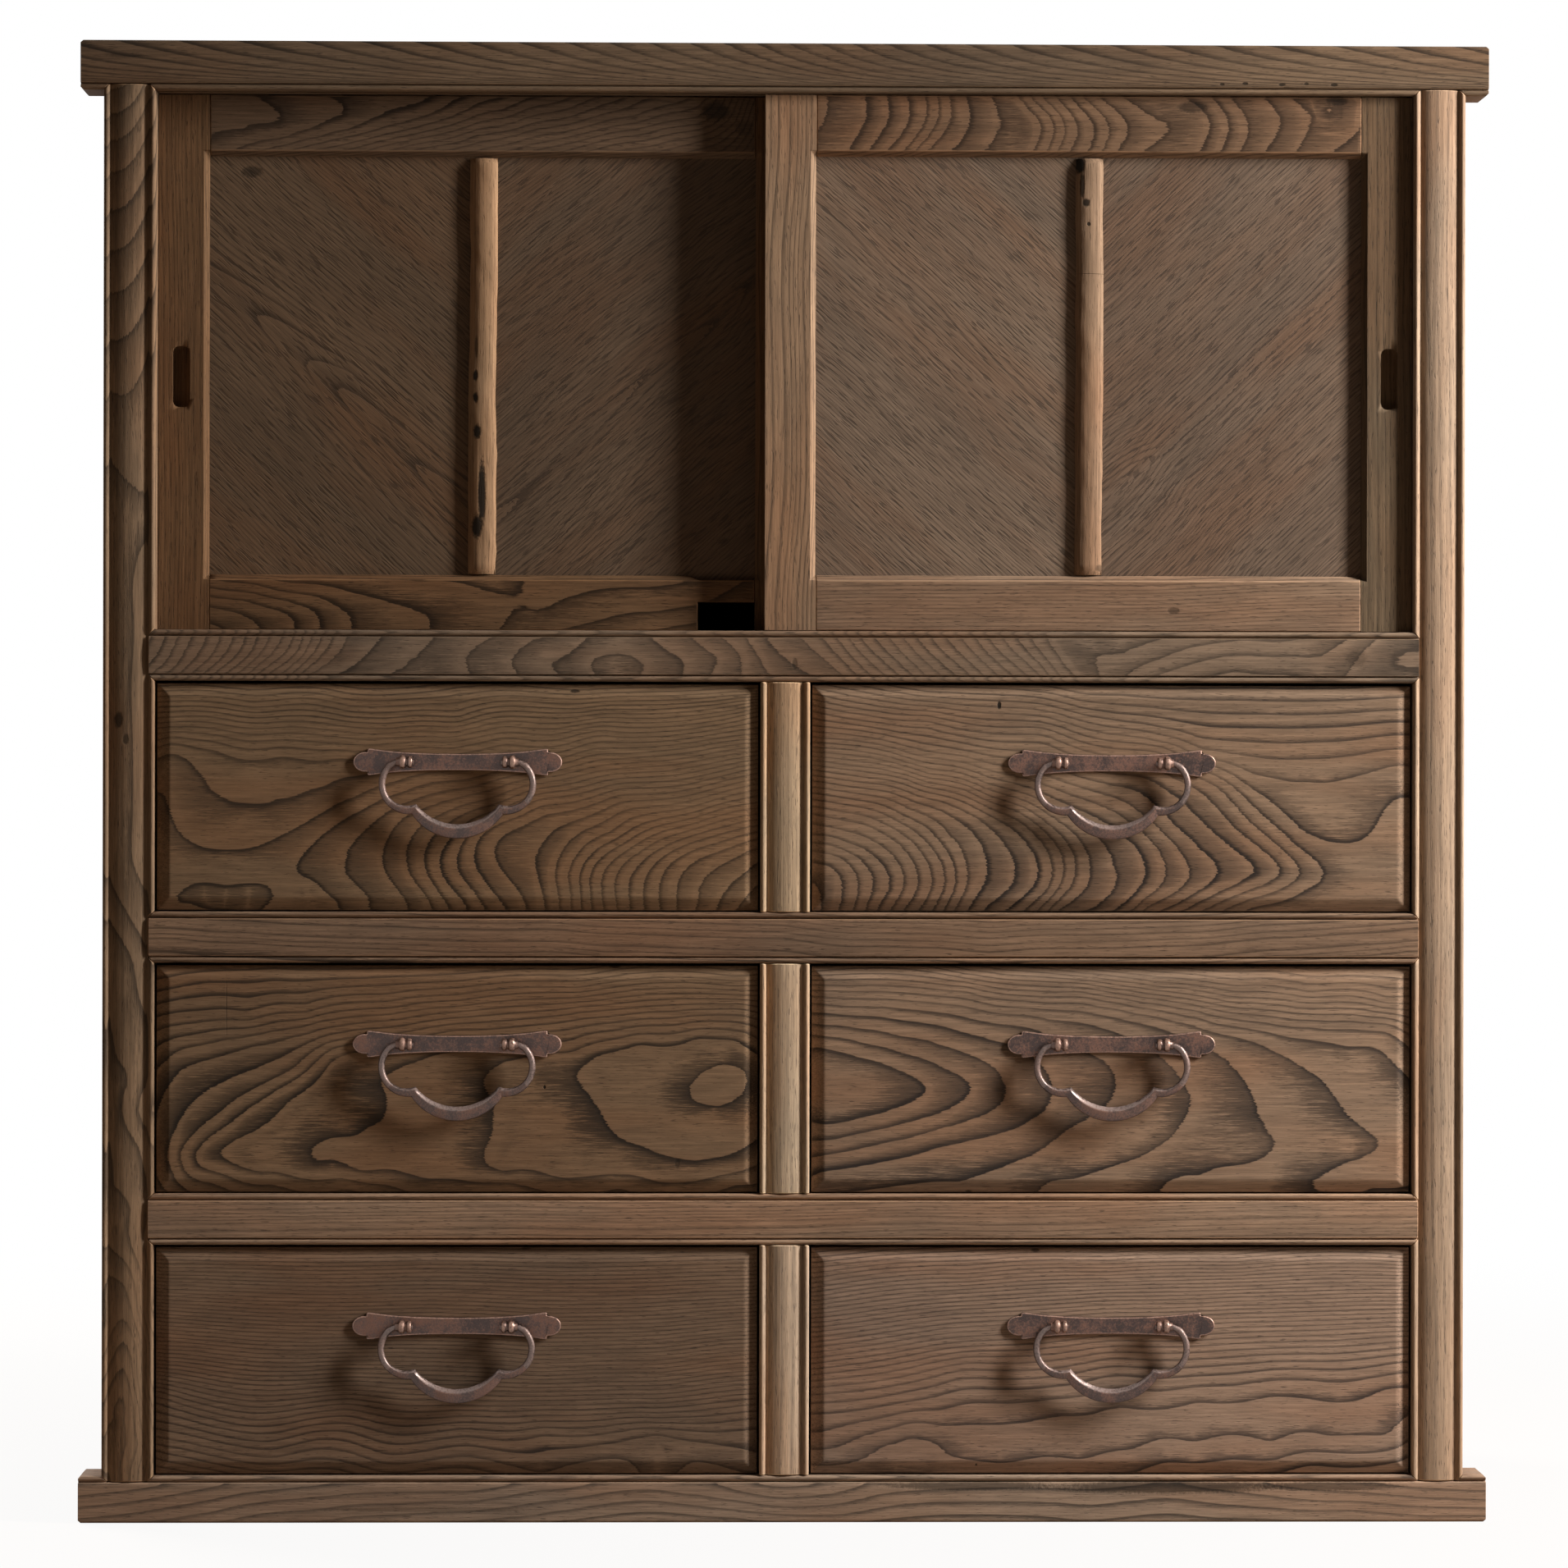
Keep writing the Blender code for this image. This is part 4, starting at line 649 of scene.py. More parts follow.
FIGURE_1_LEFT = (
    (0, 0, 20, 400, 22, 780, 22, 1200, 20, 1560, 10),
    (2, 40, 45, 250, 62, 500, 72, 780, 72, 1100, 50, 1560, 25),
    (5, 40, 88, 300, 100, 600, 118, 780, 112, 1100, 85, 1560, 42),
    (8, 40, 125, 300, 145, 600, 150, 800, 140, 1100, 112, 1560, 68),
    (10, 40, 152, 150, 170, 330, 186, 480, 190, 700, 176, 900, 152, 1150, 128, 1560, 90),
    (11, 30, 180, 90, 230, 130, 280, 200, 312, 280, 318, 360, 300, 440, 270, 520, 240, 700, 205, 900, 180,
     1150, 150, 1560, 112),
    (12, 20, 290, 40, 350, 70, 400, 130, 428, 200, 430, 290, 410, 370, 370, 430, 335, 520, 295, 620, 255,
     800, 225, 1060, 190, 1300, 160, 1560, 130),
    (12.5, 30, 470, 120, 478, 230, 480),
    (13, 470, 564, 430, 540, 380, 512, 350, 484, 380, 440, 430, 390, 500, 340, 560, 310, 640, 280, 800, 248,
     1000, 212, 1200, 180, 1560, 140),
    (13, 30, 560, 60, 537, 185, 525, 300, 540, 345, 555, 300, 570, 185, 582, 60, 578),
    (13.6, 120, 556, 240, 556),
    (12.6, 2, 540, 2, 556, 2, 572, 100, 588, 300, 588),
    (12.5, 385, 530, 402, 556, 415, 582),
    (12.75, 60, 514, 130, 504, 240, 506, 335, 524, 372, 550),
    (14, 540, 582, 560, 552, 510, 520, 475, 490, 500, 465, 495, 430, 530, 390, 580, 345, 640, 310, 800, 270,
     1000, 230, 1200, 194, 1560, 152),
    (15, 640, 585, 655, 560, 620, 530, 590, 490, 585, 450, 600, 400, 640, 345, 800, 288),
    (16, 715, 585, 700, 550, 665, 510, 648, 460, 655, 410, 690, 365, 850, 300, 1200, 218, 1560, 170),
    (18, 800, 585, 800, 565, 760, 530, 735, 490, 735, 440, 765, 400, 900, 325, 1200, 243, 1560, 192),
    (20, 905, 585, 870, 540, 835, 490, 825, 430, 840, 390, 900, 350, 1000, 310, 1200, 270, 1560, 216),
    (22, 1005, 560, 990, 510, 985, 450, 1010, 410, 1080, 355, 1200, 303, 1560, 242),
    (24, 1075, 585, 1075, 540, 1065, 490, 1090, 445, 1180, 385, 1350, 325, 1560, 272),
    (26, 1125, 580, 1120, 500, 1150, 450, 1240, 395, 1400, 345, 1560, 305),
    (28, 1195, 580, 1190, 500, 1215, 460, 1290, 410, 1420, 365, 1560, 335),
    (31, 1305, 580, 1310, 500, 1330, 465, 1400, 425, 1560, 380),
    (33, 1405, 570, 1410, 520, 1440, 485, 1500, 450, 1560, 420),
    (34, 1470, 545, 1530, 490),
)
FIGURE_1_RIGHT = (
    (0.3, 35, 518),
    (1, 75, 530, 72, 498, 45, 470, 5, 465),
    (2, 115, 560, 118, 520, 105, 475, 70, 445, 0, 430),
    (4, 170, 575, 205, 530, 195, 490, 150, 440, 90, 415, 0, 395),
    (6, 240, 578, 272, 530, 265, 470, 215, 405, 130, 360, 0, 335),
    (8, 320, 578, 343, 530, 340, 470, 290, 400, 200, 345, 100, 315, 0, 300),
    (10, 370, 580, 398, 530, 395, 460, 350, 390, 250, 325, 120, 285, 0, 268),
    (12, 450, 580, 510, 535, 525, 480, 500, 420, 430, 345, 330, 300, 200, 262, 0, 235),
    (14, 560, 578, 610, 540, 625, 480, 600, 410, 530, 345, 400, 288, 250, 245, 0, 208),
    (17, 640, 580, 700, 540, 722, 475, 700, 410, 640, 355, 520, 292, 300, 232),
    (18, 740, 578, 786, 530, 782, 470, 755, 410, 700, 360, 620, 318, 450, 258, 250, 205, 0, 165),
    (19, 800, 576, 850, 530, 868, 480, 840, 415, 790, 370),
    (20, 850, 576, 900, 530, 918, 480, 885, 410, 820, 355, 700, 295, 500, 232, 250, 178, 0, 135),
    (21, 890, 574, 960, 530, 983, 478, 940, 405, 890, 355, 780, 290),
    (22, 880, 582, 960, 562, 1020, 530, 1055, 490, 1010, 430, 950, 375, 900, 330, 780, 262, 600, 210, 300, 158,
     0, 110),
    (23, 1000, 565, 1100, 525, 1165, 490, 1120, 445, 1060, 395, 1000, 340, 940, 285, 850, 235, 600, 180, 300, 135,
     0, 88),
    (24, 1050, 568, 1150, 527, 1230, 490, 1180, 435, 1100, 370, 1040, 305, 980, 255, 850, 208, 600, 150, 300, 110,
     0, 64),
    (25, 1100, 570, 1220, 527, 1280, 490, 1240, 445, 1170, 380, 1100, 308, 1040, 255, 900, 195),
    (26, 1150, 574, 1280, 525, 1335, 488, 1290, 440, 1230, 385, 1160, 325, 1100, 265, 1040, 228, 900, 170,
     600, 112, 300, 80, 0, 42),
    (26.5, 1460, 500, 1510, 440, 1400, 540),
    (27, 1060, 213, 1150, 272, 1220, 325, 1270, 375, 1330, 402, 1400, 410, 1450, 392, 1480, 350, 1500, 308,
     1530, 290),
    (28, 1060, 200, 1130, 225, 1200, 238, 1290, 245, 1400, 238, 1470, 220, 1530, 205),
    (29, 600, 68, 900, 135, 1010, 168, 1150, 184, 1300, 190, 1530, 165),
    (30, 600, 50, 900, 105, 1050, 140, 1200, 150, 1400, 142, 1540, 128),
    (31, 300, 20, 600, 35, 800, 75, 1000, 102, 1200, 110, 1400, 105, 1545, 95),
    (32, 500, 10, 700, 42, 1000, 68, 1250, 76, 1545, 62),
    (33, 800, 25, 1100, 38, 1400, 38, 1550, 28),
    (34, 1000, 8, 1550, 4),
)
FIGURE_2_LEFT = (
    (0, 40, 30, 130, 18, 400, 12, 780, 4),
    (1, 35, 62, 130, 42, 300, 38, 600, 30, 780, 22, 1100, 10),
    (2, 30, 95, 60, 87, 190, 78, 400, 65, 600, 50, 780, 40, 1100, 24, 1500, 12),
    (3, 30, 127, 120, 119, 230, 122, 390, 105, 600, 75, 780, 58, 1100, 40, 1500, 27),
    (4, 25, 160, 100, 150, 250, 142, 400, 120, 600, 95, 780, 76, 1100, 56, 1500, 40),
    (5, 25, 197, 60, 187, 200, 165, 400, 135, 780, 92, 1100, 70, 1500, 52),
    (6, 25, 250, 60, 217, 180, 190, 300, 170, 420, 145, 780, 106, 1100, 82, 1500, 66),
    (7, 20, 330, 60, 272, 150, 240, 250, 205, 350, 185, 450, 162, 780, 122, 1100, 94, 1500, 76),
    (8, 45, 530, 42, 450, 60, 400, 110, 340, 180, 300, 260, 270, 330, 235, 400, 200, 480, 176, 780, 136, 1100, 106,
     1500, 87),
    (9, 150, 562, 70, 530, 60, 490, 100, 440, 160, 390, 230, 335, 300, 300, 350, 275, 370, 258, 400, 225, 500, 190,
     780, 150, 1100, 120, 1500, 98),
    (10, 500, 576, 300, 562, 180, 540, 105, 512, 100, 490, 130, 455, 190, 410, 240, 365, 310, 320, 360, 290,
     430, 240, 510, 205, 780, 168, 1040, 150, 1200, 132, 1500, 110),
    (11, 900, 572, 600, 568, 400, 556, 280, 540, 200, 517, 150, 492, 190, 460, 260, 430, 310, 390, 340, 350,
     400, 310, 430, 280, 450, 240, 510, 218, 780, 188, 1040, 168, 1200, 142, 1400, 130, 1520, 128),
    (12, 1500, 560, 1200, 566, 900, 564, 700, 555, 520, 535, 420, 518, 440, 500, 520, 455, 590, 405, 605, 330,
     640, 258, 720, 228, 900, 212, 1060, 203, 1200, 172, 1350, 155, 1500, 152),
    (13, 1500, 545, 1200, 555, 1050, 553, 900, 543, 850, 523, 862, 495, 876, 450, 870, 420, 878, 340, 865, 275,
     900, 244, 960, 235, 1060, 224, 1200, 186, 1400, 166, 1520, 170),
    (14, 1530, 215, 1500, 188, 1400, 182, 1250, 200, 1150, 228, 1100, 262, 1108, 300, 1130, 340, 1160, 390,
     1190, 432, 1260, 462, 1330, 492, 1400, 508, 1480, 495, 1530, 470),
    (15, 1528, 266, 1490, 262, 1450, 275, 1405, 297, 1378, 325, 1388, 346, 1430, 357, 1490, 348, 1524, 320),
    (15.4, 1460, 312),
    (14.5, 1300, 330, 1250, 265, 1400, 225, 1270, 410, 1400, 435, 1500, 415, 1180, 300),
    (13.5, 985, 270, 985, 350, 1000, 430, 1040, 500, 1150, 516, 1300, 536, 1030, 240, 1060, 400),
    (12.5, 540, 510, 640, 500, 700, 430, 735, 340, 745, 270, 770, 500, 900, 560, 1200, 560),
    (11.5, 300, 478, 250, 505, 370, 425, 440, 360, 490, 300, 540, 245, 320, 520),
)
FIGURE_2_RIGHT = (
    (7.3, 1440, 532, 1530, 528),
    (6.6, 1420, 470, 1330, 480, 1240, 562),
    (7, 1450, 488, 1460, 566, 1545, 570),
    (-0.6, 60, 320),
    (0, 20, 205, 90, 225, 170, 245, 240, 275, 303, 312, 290, 335, 240, 360, 180, 385, 100, 405, 40, 415),
    (1, 40, 186, 150, 205, 250, 230, 340, 265, 422, 318, 390, 350, 330, 385, 230, 410, 120, 432, 30, 450),
    (2, 20, 155, 130, 165, 230, 185, 330, 205, 420, 235, 490, 285, 505, 320, 490, 360, 420, 395, 330, 420,
     200, 455, 100, 480, 20, 495),
    (3, 20, 120, 150, 128, 280, 145, 400, 175, 490, 200, 590, 250, 625, 310, 610, 375, 560, 405, 480, 435,
     400, 455, 330, 470, 250, 495, 150, 515, 30, 530),
    (4, 0, 95, 200, 105, 330, 120, 500, 150, 640, 195, 720, 228, 775, 255, 790, 300, 775, 350, 720, 395, 660, 425,
     620, 460, 580, 490, 500, 520, 400, 545, 310, 560, 400, 574),
    (5, 0, 76, 300, 92, 560, 125, 800, 178, 900, 235, 960, 300, 990, 340, 980, 380, 960, 410, 930, 455, 870, 490,
     800, 515, 700, 535, 615, 555, 700, 570),
    (6, 0, 60, 400, 82, 700, 116, 900, 160, 1030, 215, 1090, 265, 1140, 320, 1160, 380, 1180, 430, 1215, 465,
     1200, 485, 1150, 510, 1050, 520, 980, 535, 925, 552, 1000, 569),
    (7, 0, 48, 400, 65, 700, 95, 900, 130, 1100, 180, 1200, 220, 1270, 260, 1330, 300, 1370, 350, 1400, 400,
     1440, 440, 1500, 468, 1400, 500, 1350, 525, 1290, 547, 1350, 562),
    (8, 0, 35, 400, 50, 800, 92, 1000, 130, 1170, 165, 1300, 192, 1400, 214, 1500, 242),
    (9, 0, 22, 400, 38, 700, 62, 900, 95, 1100, 135, 1300, 155, 1400, 159, 1500, 165),
    (11, 0, 5, 400, 22, 700, 42, 1000, 85, 1200, 110, 1500, 130),
    (13, 500, 8, 800, 38, 1000, 62, 1200, 84, 1500, 108),
    (15, 700, 8, 900, 30, 1100, 52, 1300, 66, 1500, 82),
    (16, 900, 8, 1100, 28, 1300, 42, 1500, 52),
    (17, 1200, 8, 1500, 22),
)
FIGURE_3_LEFT = (
    (-4, 0, 12, 800, 14, 1560, 8),
    (0, 0, 52, 500, 60, 1000, 62, 1560, 52),
    (12, 0, 162, 500, 185, 1000, 192, 1300, 186, 1560, 168),
    (24, 0, 285, 400, 310, 1000, 324, 1300, 316, 1560, 290),
    (34, 0, 385, 500, 420, 1000, 436, 1300, 432, 1560, 410),
    (37, 0, 455, 400, 480, 800, 490, 1000, 488, 1250, 470, 1450, 480, 1560, 470),
    (38, 900, 530, 1010, 520, 1150, 512, 1300, 487, 1400, 505, 1500, 520),
    (38.6, 1215, 525, 1300, 500, 1400, 525, 1330, 548),
    (38.9, 1320, 524),
    (38.2, 300, 530, 600, 545, 1000, 560, 1300, 570, 1560, 560),
)
FIGURE_3_RIGHT = (
    (30, 0, 40, 400, 10, 800, 2),
    (26, 0, 95, 400, 60, 780, 45, 1100, 38, 1560, 30),
    (18, 0, 185, 390, 140, 780, 118, 1100, 110, 1560, 100),
    (10, 0, 290, 400, 232, 780, 205, 1100, 196, 1560, 184),
    (4, 0, 385, 390, 320, 780, 290, 1200, 280, 1560, 262),
    (2, 0, 432, 390, 370, 780, 335, 1200, 318, 1560, 300),
    (1, 20, 485, 100, 460, 200, 440, 330, 425, 480, 405, 700, 390, 900, 375, 1100, 360, 1300, 345, 1500, 335),
    (0, 80, 517, 110, 498, 200, 477, 330, 465, 500, 460, 650, 435, 800, 415, 1000, 400, 1200, 386, 1500, 364),
    (-1, 90, 562, 140, 550, 190, 510, 260, 490, 320, 500, 352, 525, 345, 548),
    (-1.4, 250, 545),
    (-0.5, 700, 482, 1000, 455),
    (-1, 500, 562, 700, 553, 850, 525, 1000, 510, 1200, 510, 1350, 492, 1500, 496),
    (-2, 920, 556, 1100, 550, 1300, 532, 1500, 526),
    (-3, 1300, 566, 1540, 556),
)

# Figures of rails and posts. Their lines are drawn on a strip of the photograph, which
# starts at a column and a line of it and is enlarged. A strip's ordinates run right and down.
TOP_RAIL_LEFT_DOOR = (
    (0, 0, 42, 100, 40, 180, 50, 215, 65, 180, 85, 100, 105, 0, 125),
    (1, 270, 10, 340, 20, 385, 40, 370, 65, 300, 95, 200, 130, 60, 160),
    (2, 460, 10, 520, 35, 490, 65, 400, 95, 300, 125, 150, 155),
    (3, 680, 12, 640, 45, 560, 75, 450, 105, 330, 130, 200, 158),
    (4, 770, 12, 720, 45, 620, 80, 500, 108, 300, 150),
    (5, 880, 12, 820, 45, 700, 80, 560, 115, 400, 150),
    (7, 1060, 12, 980, 45, 860, 75, 720, 105, 560, 140, 480, 158),
    (9, 1200, 12, 1150, 40, 1050, 68, 900, 95, 750, 125, 620, 158),
    (10, 1300, 20, 1200, 60, 1050, 90, 900, 118, 750, 158),
    (12, 1380, 55, 1300, 68, 1200, 90, 1050, 120, 900, 155),
    (14, 1390, 90, 1280, 105, 1150, 130, 1050, 158),
    (16, 1480, 70, 1440, 95, 1380, 120, 1250, 158),
    (18, 1510, 60, 1490, 100, 1440, 150),
    (20, 1540, 50, 1530, 100, 1500, 150),
)
TOP_RAIL_RIGHT_DOOR = (
    (0, 40, 15, 40, 60, 0, 120),
    (1, 150, 10, 155, 60, 130, 110, 110, 150),
    (2, 210, 10, 215, 60, 190, 110, 160, 155),
    (3, 265, 10, 270, 60, 250, 110, 215, 150),
    (4, 320, 15, 325, 60, 300, 110, 270, 150),
    (5, 355, 60, 325, 115, 295, 150),
    (6, 380, 10, 385, 60, 355, 110, 310, 155),
    (7, 430, 10, 445, 60, 430, 110, 400, 150),
    (8, 505, 10, 512, 60, 505, 110, 480, 155),
    (9, 590, 10, 635, 60, 640, 100, 625, 150),
    (10, 610, 10, 665, 60, 680, 100, 660, 150),
    (11, 640, 10, 695, 60, 705, 100, 685, 150),
    (12, 680, 10, 725, 60, 738, 100, 718, 150),
    (13, 730, 10, 780, 60, 790, 110, 780, 150),
    (14, 760, 10, 815, 60, 830, 110, 810, 150),
    (15, 800, 10, 870, 60, 885, 100, 850, 150),
    (16, 880, 15, 930, 50, 1000, 75, 1000, 90, 960, 130, 920, 155),
    (17, 1115, 60, 1100, 120, 1085, 155),
    (18, 1165, 70, 1160, 110, 1140, 155),
    (19, 1170, 15, 1210, 60, 1220, 100, 1195, 155),
    (20, 1280, 15, 1330, 50, 1300, 100, 1265, 155),
    (21, 1330, 20, 1370, 60, 1440, 60, 1490, 50),
    (22, 1540, 60, 1500, 120, 1450, 155),
)
BOTTOM_RAIL_LEFT_DOOR = (
    (0, 0, 90, 60, 100, 130, 125, 120, 150),
    (1, 0, 60, 100, 72, 200, 95, 245, 120, 230, 145),
    (2, 0, 40, 150, 60, 270, 90, 320, 112, 300, 145),
    (3, 60, 25, 200, 50, 350, 85, 405, 110, 380, 145),
    (4, 240, 25, 400, 50, 560, 80, 630, 105, 570, 140),
    (5, 580, 20, 760, 40, 900, 55, 975, 80, 940, 110, 820, 150),
    (6, 960, 155, 1100, 125, 1250, 105, 1380, 85),
    (7, 1200, 155, 1300, 140, 1400, 120),
)
SILL = (
    (0, 60, 28, 42, 60, 25, 95, 5, 112),
    (1, 90, 28, 70, 60, 60, 90, 20, 110),
    (3, 160, 28, 150, 60, 120, 90, 90, 112),
    (6, 250, 26, 238, 60, 205, 90, 170, 112),
    (10, 365, 25, 350, 60, 315, 90, 275, 112),
    (14, 470, 25, 450, 60, 420, 85, 380, 112),
    (15, 560, 30, 520, 62, 500, 90, 470, 112),
    (16, 700, 30, 640, 52, 620, 74, 650, 96, 700, 112),
    (17, 860, 24, 780, 48, 750, 72, 780, 96, 850, 112),
    (18, 980, 30, 890, 55, 862, 80, 900, 104, 960, 115),
    (19, 1040, 50, 960, 68, 940, 85, 975, 104, 1050, 112),
    (20, 1130, 66, 1070, 74, 1050, 85, 1075, 97, 1130, 104, 1200, 97, 1225, 85, 1190, 74, 1130, 66),
    (20.6, 1130, 85),
    (19, 1240, 52, 1300, 66, 1312, 84, 1280, 104, 1230, 114),
    (18, 1330, 36, 1385, 58, 1392, 84, 1350, 112),
    (17, 1390, 28, 1436, 54, 1442, 86, 1400, 114),
    (15, 1500, 28, 1540, 60, 1570, 90, 1590, 114),
    (14, 1600, 30, 1640, 64, 1670, 92, 1690, 115),
    (10, 1740, 30, 1780, 64, 1810, 92, 1830, 115),
    (5, 1915, 30, 1955, 64, 1985, 92, 2005, 115),
    (0, 2090, 30, 2130, 64, 2160, 92, 2180, 115),
    (-3, 2190, 28, 2222, 60, 2235, 92),
    (-4, 2310, 90, 2380, 60, 2440, 22),
    (-5, 2380, 112, 2460, 75, 2520, 45, 2610, 25, 2760, 22),
    (-6, 2420, 118, 2510, 95, 2610, 65, 2760, 62, 2860, 68, 2890, 40, 2920, 22),
    (-7, 2500, 118, 2640, 92, 2800, 95, 2930, 96, 2960, 60, 2990, 25),
    (-8, 3110, 30, 3060, 45, 3040, 60, 3060, 84, 3110, 100),
)
BASE_RAIL = (
    (1, 10, 95, 150, 80, 260, 60, 330, 45, 420, 35, 560, 22, 800, 18),
    (2, 180, 100, 300, 82, 400, 60, 520, 48, 700, 38, 860, 38, 950, 22, 1050, 15),
    (3, 300, 105, 450, 80, 600, 65, 800, 55, 930, 50, 1020, 30),
    (4, 520, 105, 700, 88, 900, 75, 1000, 62, 1100, 48, 1200, 35, 1260, 32, 1330, 45, 1400, 60, 1560, 75),
    (5, 800, 108, 1000, 95, 1100, 75, 1250, 58, 1400, 70, 1560, 88),
    (6, 1000, 108, 1200, 85, 1320, 85, 1450, 95, 1560, 100),
    (3, 1400, 15, 1440, 35, 1500, 48, 1560, 50, 1660, 42, 1740, 18),
    (5, 1560, 92, 1710, 85, 1950, 60, 2160, 62),
    (4, 2410, 20, 2560, 40, 2760, 60, 2960, 72, 3110, 78),
    (6, 2200, 104, 2500, 98, 2800, 100, 3110, 106),
    (2, 2700, 10, 2900, 26, 3110, 36),
)


def nose(ring, top, reach=150):
    """One ring of the left post that points up: its line runs far down at the right side."""
    return (ring, 134, top + reach, 139, top + reach * 0.4, 144, top + 12, 151, top, 158, top + 16,
            166, top + reach * 0.6, 172, top + reach * 1.5, 177, top + reach * 2.4)


def falling(ring, start):
    """One ring of the left post's upper part, from its right side down to its left side."""
    return (ring, 184, start - 64, 178, start - 36, 171, start - 18, 161, start - 2, 148, start + 6,
            134, start + 8)


LEFT_POST = (
    *(falling(step + 1, start) for step, start in enumerate((104, 132, 165, 204, 250, 300, 352, 412, 480))),
    (9.6, 182, 560, 178, 700, 178, 850, 180, 1000),
    (10.3, 150, 620, 144, 720, 142, 820, 146, 1000),
    (10.6, 134, 680, 134, 780, 132, 900, 134, 1060),
    nose(12.4, 1156), nose(13.4, 1306), nose(14.4, 1462),
    *(nose(15.4 + 0.95 * step, 1534 + 27 * step, 110) for step in range(7)),
    (10.4, 178, 1150, 181, 1350, 183, 1600),
)

# node: wood, axis of the fibres, figure, its first column and line, enlargement, rings per
# millimetre of depth, strength of its lines and smoke
DRAWN = {
    "left_door_top_rail": ("door", "X", TOP_RAIL_LEFT_DOOR, (248, 112), 2.287, 0.25, 0.9, 0.8),
    "right_door_top_rail": ("door", "X", TOP_RAIL_RIGHT_DOOR, (986, 112), 2.281, 0.25, 1.0, 1.0),
    "left_door_bottom_rail": ("door", "X", BOTTOM_RAIL_LEFT_DOOR, (250, 700), 2.294, 0.25, 0.9, 0.8),
    "door_sill_rail": ("rail", "X", SILL, (185, 768), 2.013, 0.25, 0.8, 0.8),
    "base_rail": ("rail", "X", BASE_RAIL, (95, 1797), 1.803, 0.20, 0.8, 0.8),
    "left_post": ("post", "Z", LEFT_POST, (0, 0), 1.0, 0.05, 0.62, 0.6),
}


SPLINE_STIFFNESS = 6e-4


def spline_surface(places, numbers):
    """Thin plate spline through ring numbers at some places, as a function of other places."""
    def bend(distance_squared):
        return 0.5 * distance_squared * np.log(distance_squared + 1e-12)

    count = len(places)
    gaps = ((places[:, None, :] - places[None, :, :]) ** 2).sum(-1)
    plane = np.column_stack([np.ones(count), places])
    system = np.zeros((count + 3, count + 3))
    system[:count, :count] = bend(gaps) + SPLINE_STIFFNESS * np.eye(count)
    system[:count, count:] = plane
    system[count:, :count] = plane.T
    weights = np.linalg.solve(system, np.concatenate([numbers, np.zeros(3)]))

    def surface(points):
        reach = ((points[:, None, :] - places[None, :, :]) ** 2).sum(-1)
        return bend(reach) @ weights[:count] + np.column_stack([np.ones(len(points)), points]) @ weights[count:]

    return surface


def drawn_rings(lines, corner, unit, into, face_y, sign=1.0):
    """Ring numbers at places, from lines drawn right and down from a corner in a unit.

    Behind face_y, which is a number or one for each place, into more rings are met per metre.
    """
    places, numbers = [], []
    for ring, *track in lines:
        for x, z in zip(track[::2], track[1::2]):
            places.append((x / FIGURE_WIDTH, z / FIGURE_WIDTH))
            numbers.append(ring)
    surface = spline_surface(np.array(places, np.float64), np.array(numbers, np.float64))

    def rings_at(points):
        x = (points[:, 0] - corner[0]) / unit / FIGURE_WIDTH
        z = (corner[1] - points[:, 2]) / unit / FIGURE_WIDTH
        behind = np.maximum(points[:, 1] - face_y, 0.0)
        return sign * surface(np.column_stack([x, z])) + into * behind

    return rings_at


def dress_drawn():
    for seed, (node, row) in enumerate(DRAWN.items()):
        kind, axis, lines, (column, line_start), larger, into, line, feathers = row
        piece = finer_copy(node, cells(node, axis), ARRIS)
        corner = (picture_x(column), picture_z(line_start))
        rings_at = drawn_rings(lines, corner, PICTURE_UNIT / larger, into / MM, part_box(node)[0].y)
        give_rings(piece.data, rings_at, FIBRES[axis])
        stand_for(piece, node, wood_material(node, kind, seed + 40, axis, 0.0, line, feathers))


# Door panels: turn of the fibres in degrees, half width in millimetres of the strip where
# lines turn back, and the noses' tips in it: column and line of the photograph, and ring
PANELS = {
    "left_door_left_panel": (-43.0, 34.0, ((240, 318, 4.9), (309, 381, 4), (371, 437, 3),
                                           (406, 468, 2), (503, 561, 1), (560, 614, 0.4))),
    "left_door_right_panel": (38.0, 16.0, ((950, 310, 4.5), (904, 343, 4), (867, 384, 3),
                                           (785, 450, 2), (634, 600, 1), (560, 660, 0.5))),
    "right_door_left_panel": (-41.0, 10.0, ((960, 250, 0.4), (1290, 560, 0.2))),
    "right_door_right_panel": (43.0, 12.0, ((1412, 546, 2.6), (1403, 554, 2), (1386, 572, 1), (1360, 596, 0.2))),
}


def dress_panels():
    for seed, (node, (turn, strip, tips)) in enumerate(PANELS.items(), 70):
        angle = math.radians(turn)
        cosine, sine = math.cos(angle), math.sin(angle)

        def across_and_along(x, z):
            return -x * sine + z * cosine, x * cosine + z * sine

        columns, rows, tip_rings = np.array(tips, np.float64).T
        tips_across, tips_along = across_and_along(picture_x(columns), picture_z(rows))
        order = np.argsort(tips_along)

        def rings_at(points):
            across, along = across_and_along(points[:, 0], points[:, 2])
            axis = np.interp(along, tips_along[order], tips_across[order])
            rings = np.interp(along, tips_along[order], tip_rings[order])
            side = across - axis
            side = side + 1.5 * MM * drift(along, seed, 0.2) + 3.0 * MM * drift(across, seed + 4, 0.06)
            return rings + (np.sqrt(side ** 2 + (strip * MM) ** 2) - strip * MM) / (2.7 * MM)

        piece = finer_copy(node, (4 * MM, 0.0, 4 * MM))
        give_rings(piece.data, rings_at, (cosine, 0.0, sine))
        material = wood_material(node, "panel", seed, "X", angle, line=0.75, feathers=0.50, brushed=0.9,
                                 pores=PANEL_PORES)
        stand_for(piece, node, material)


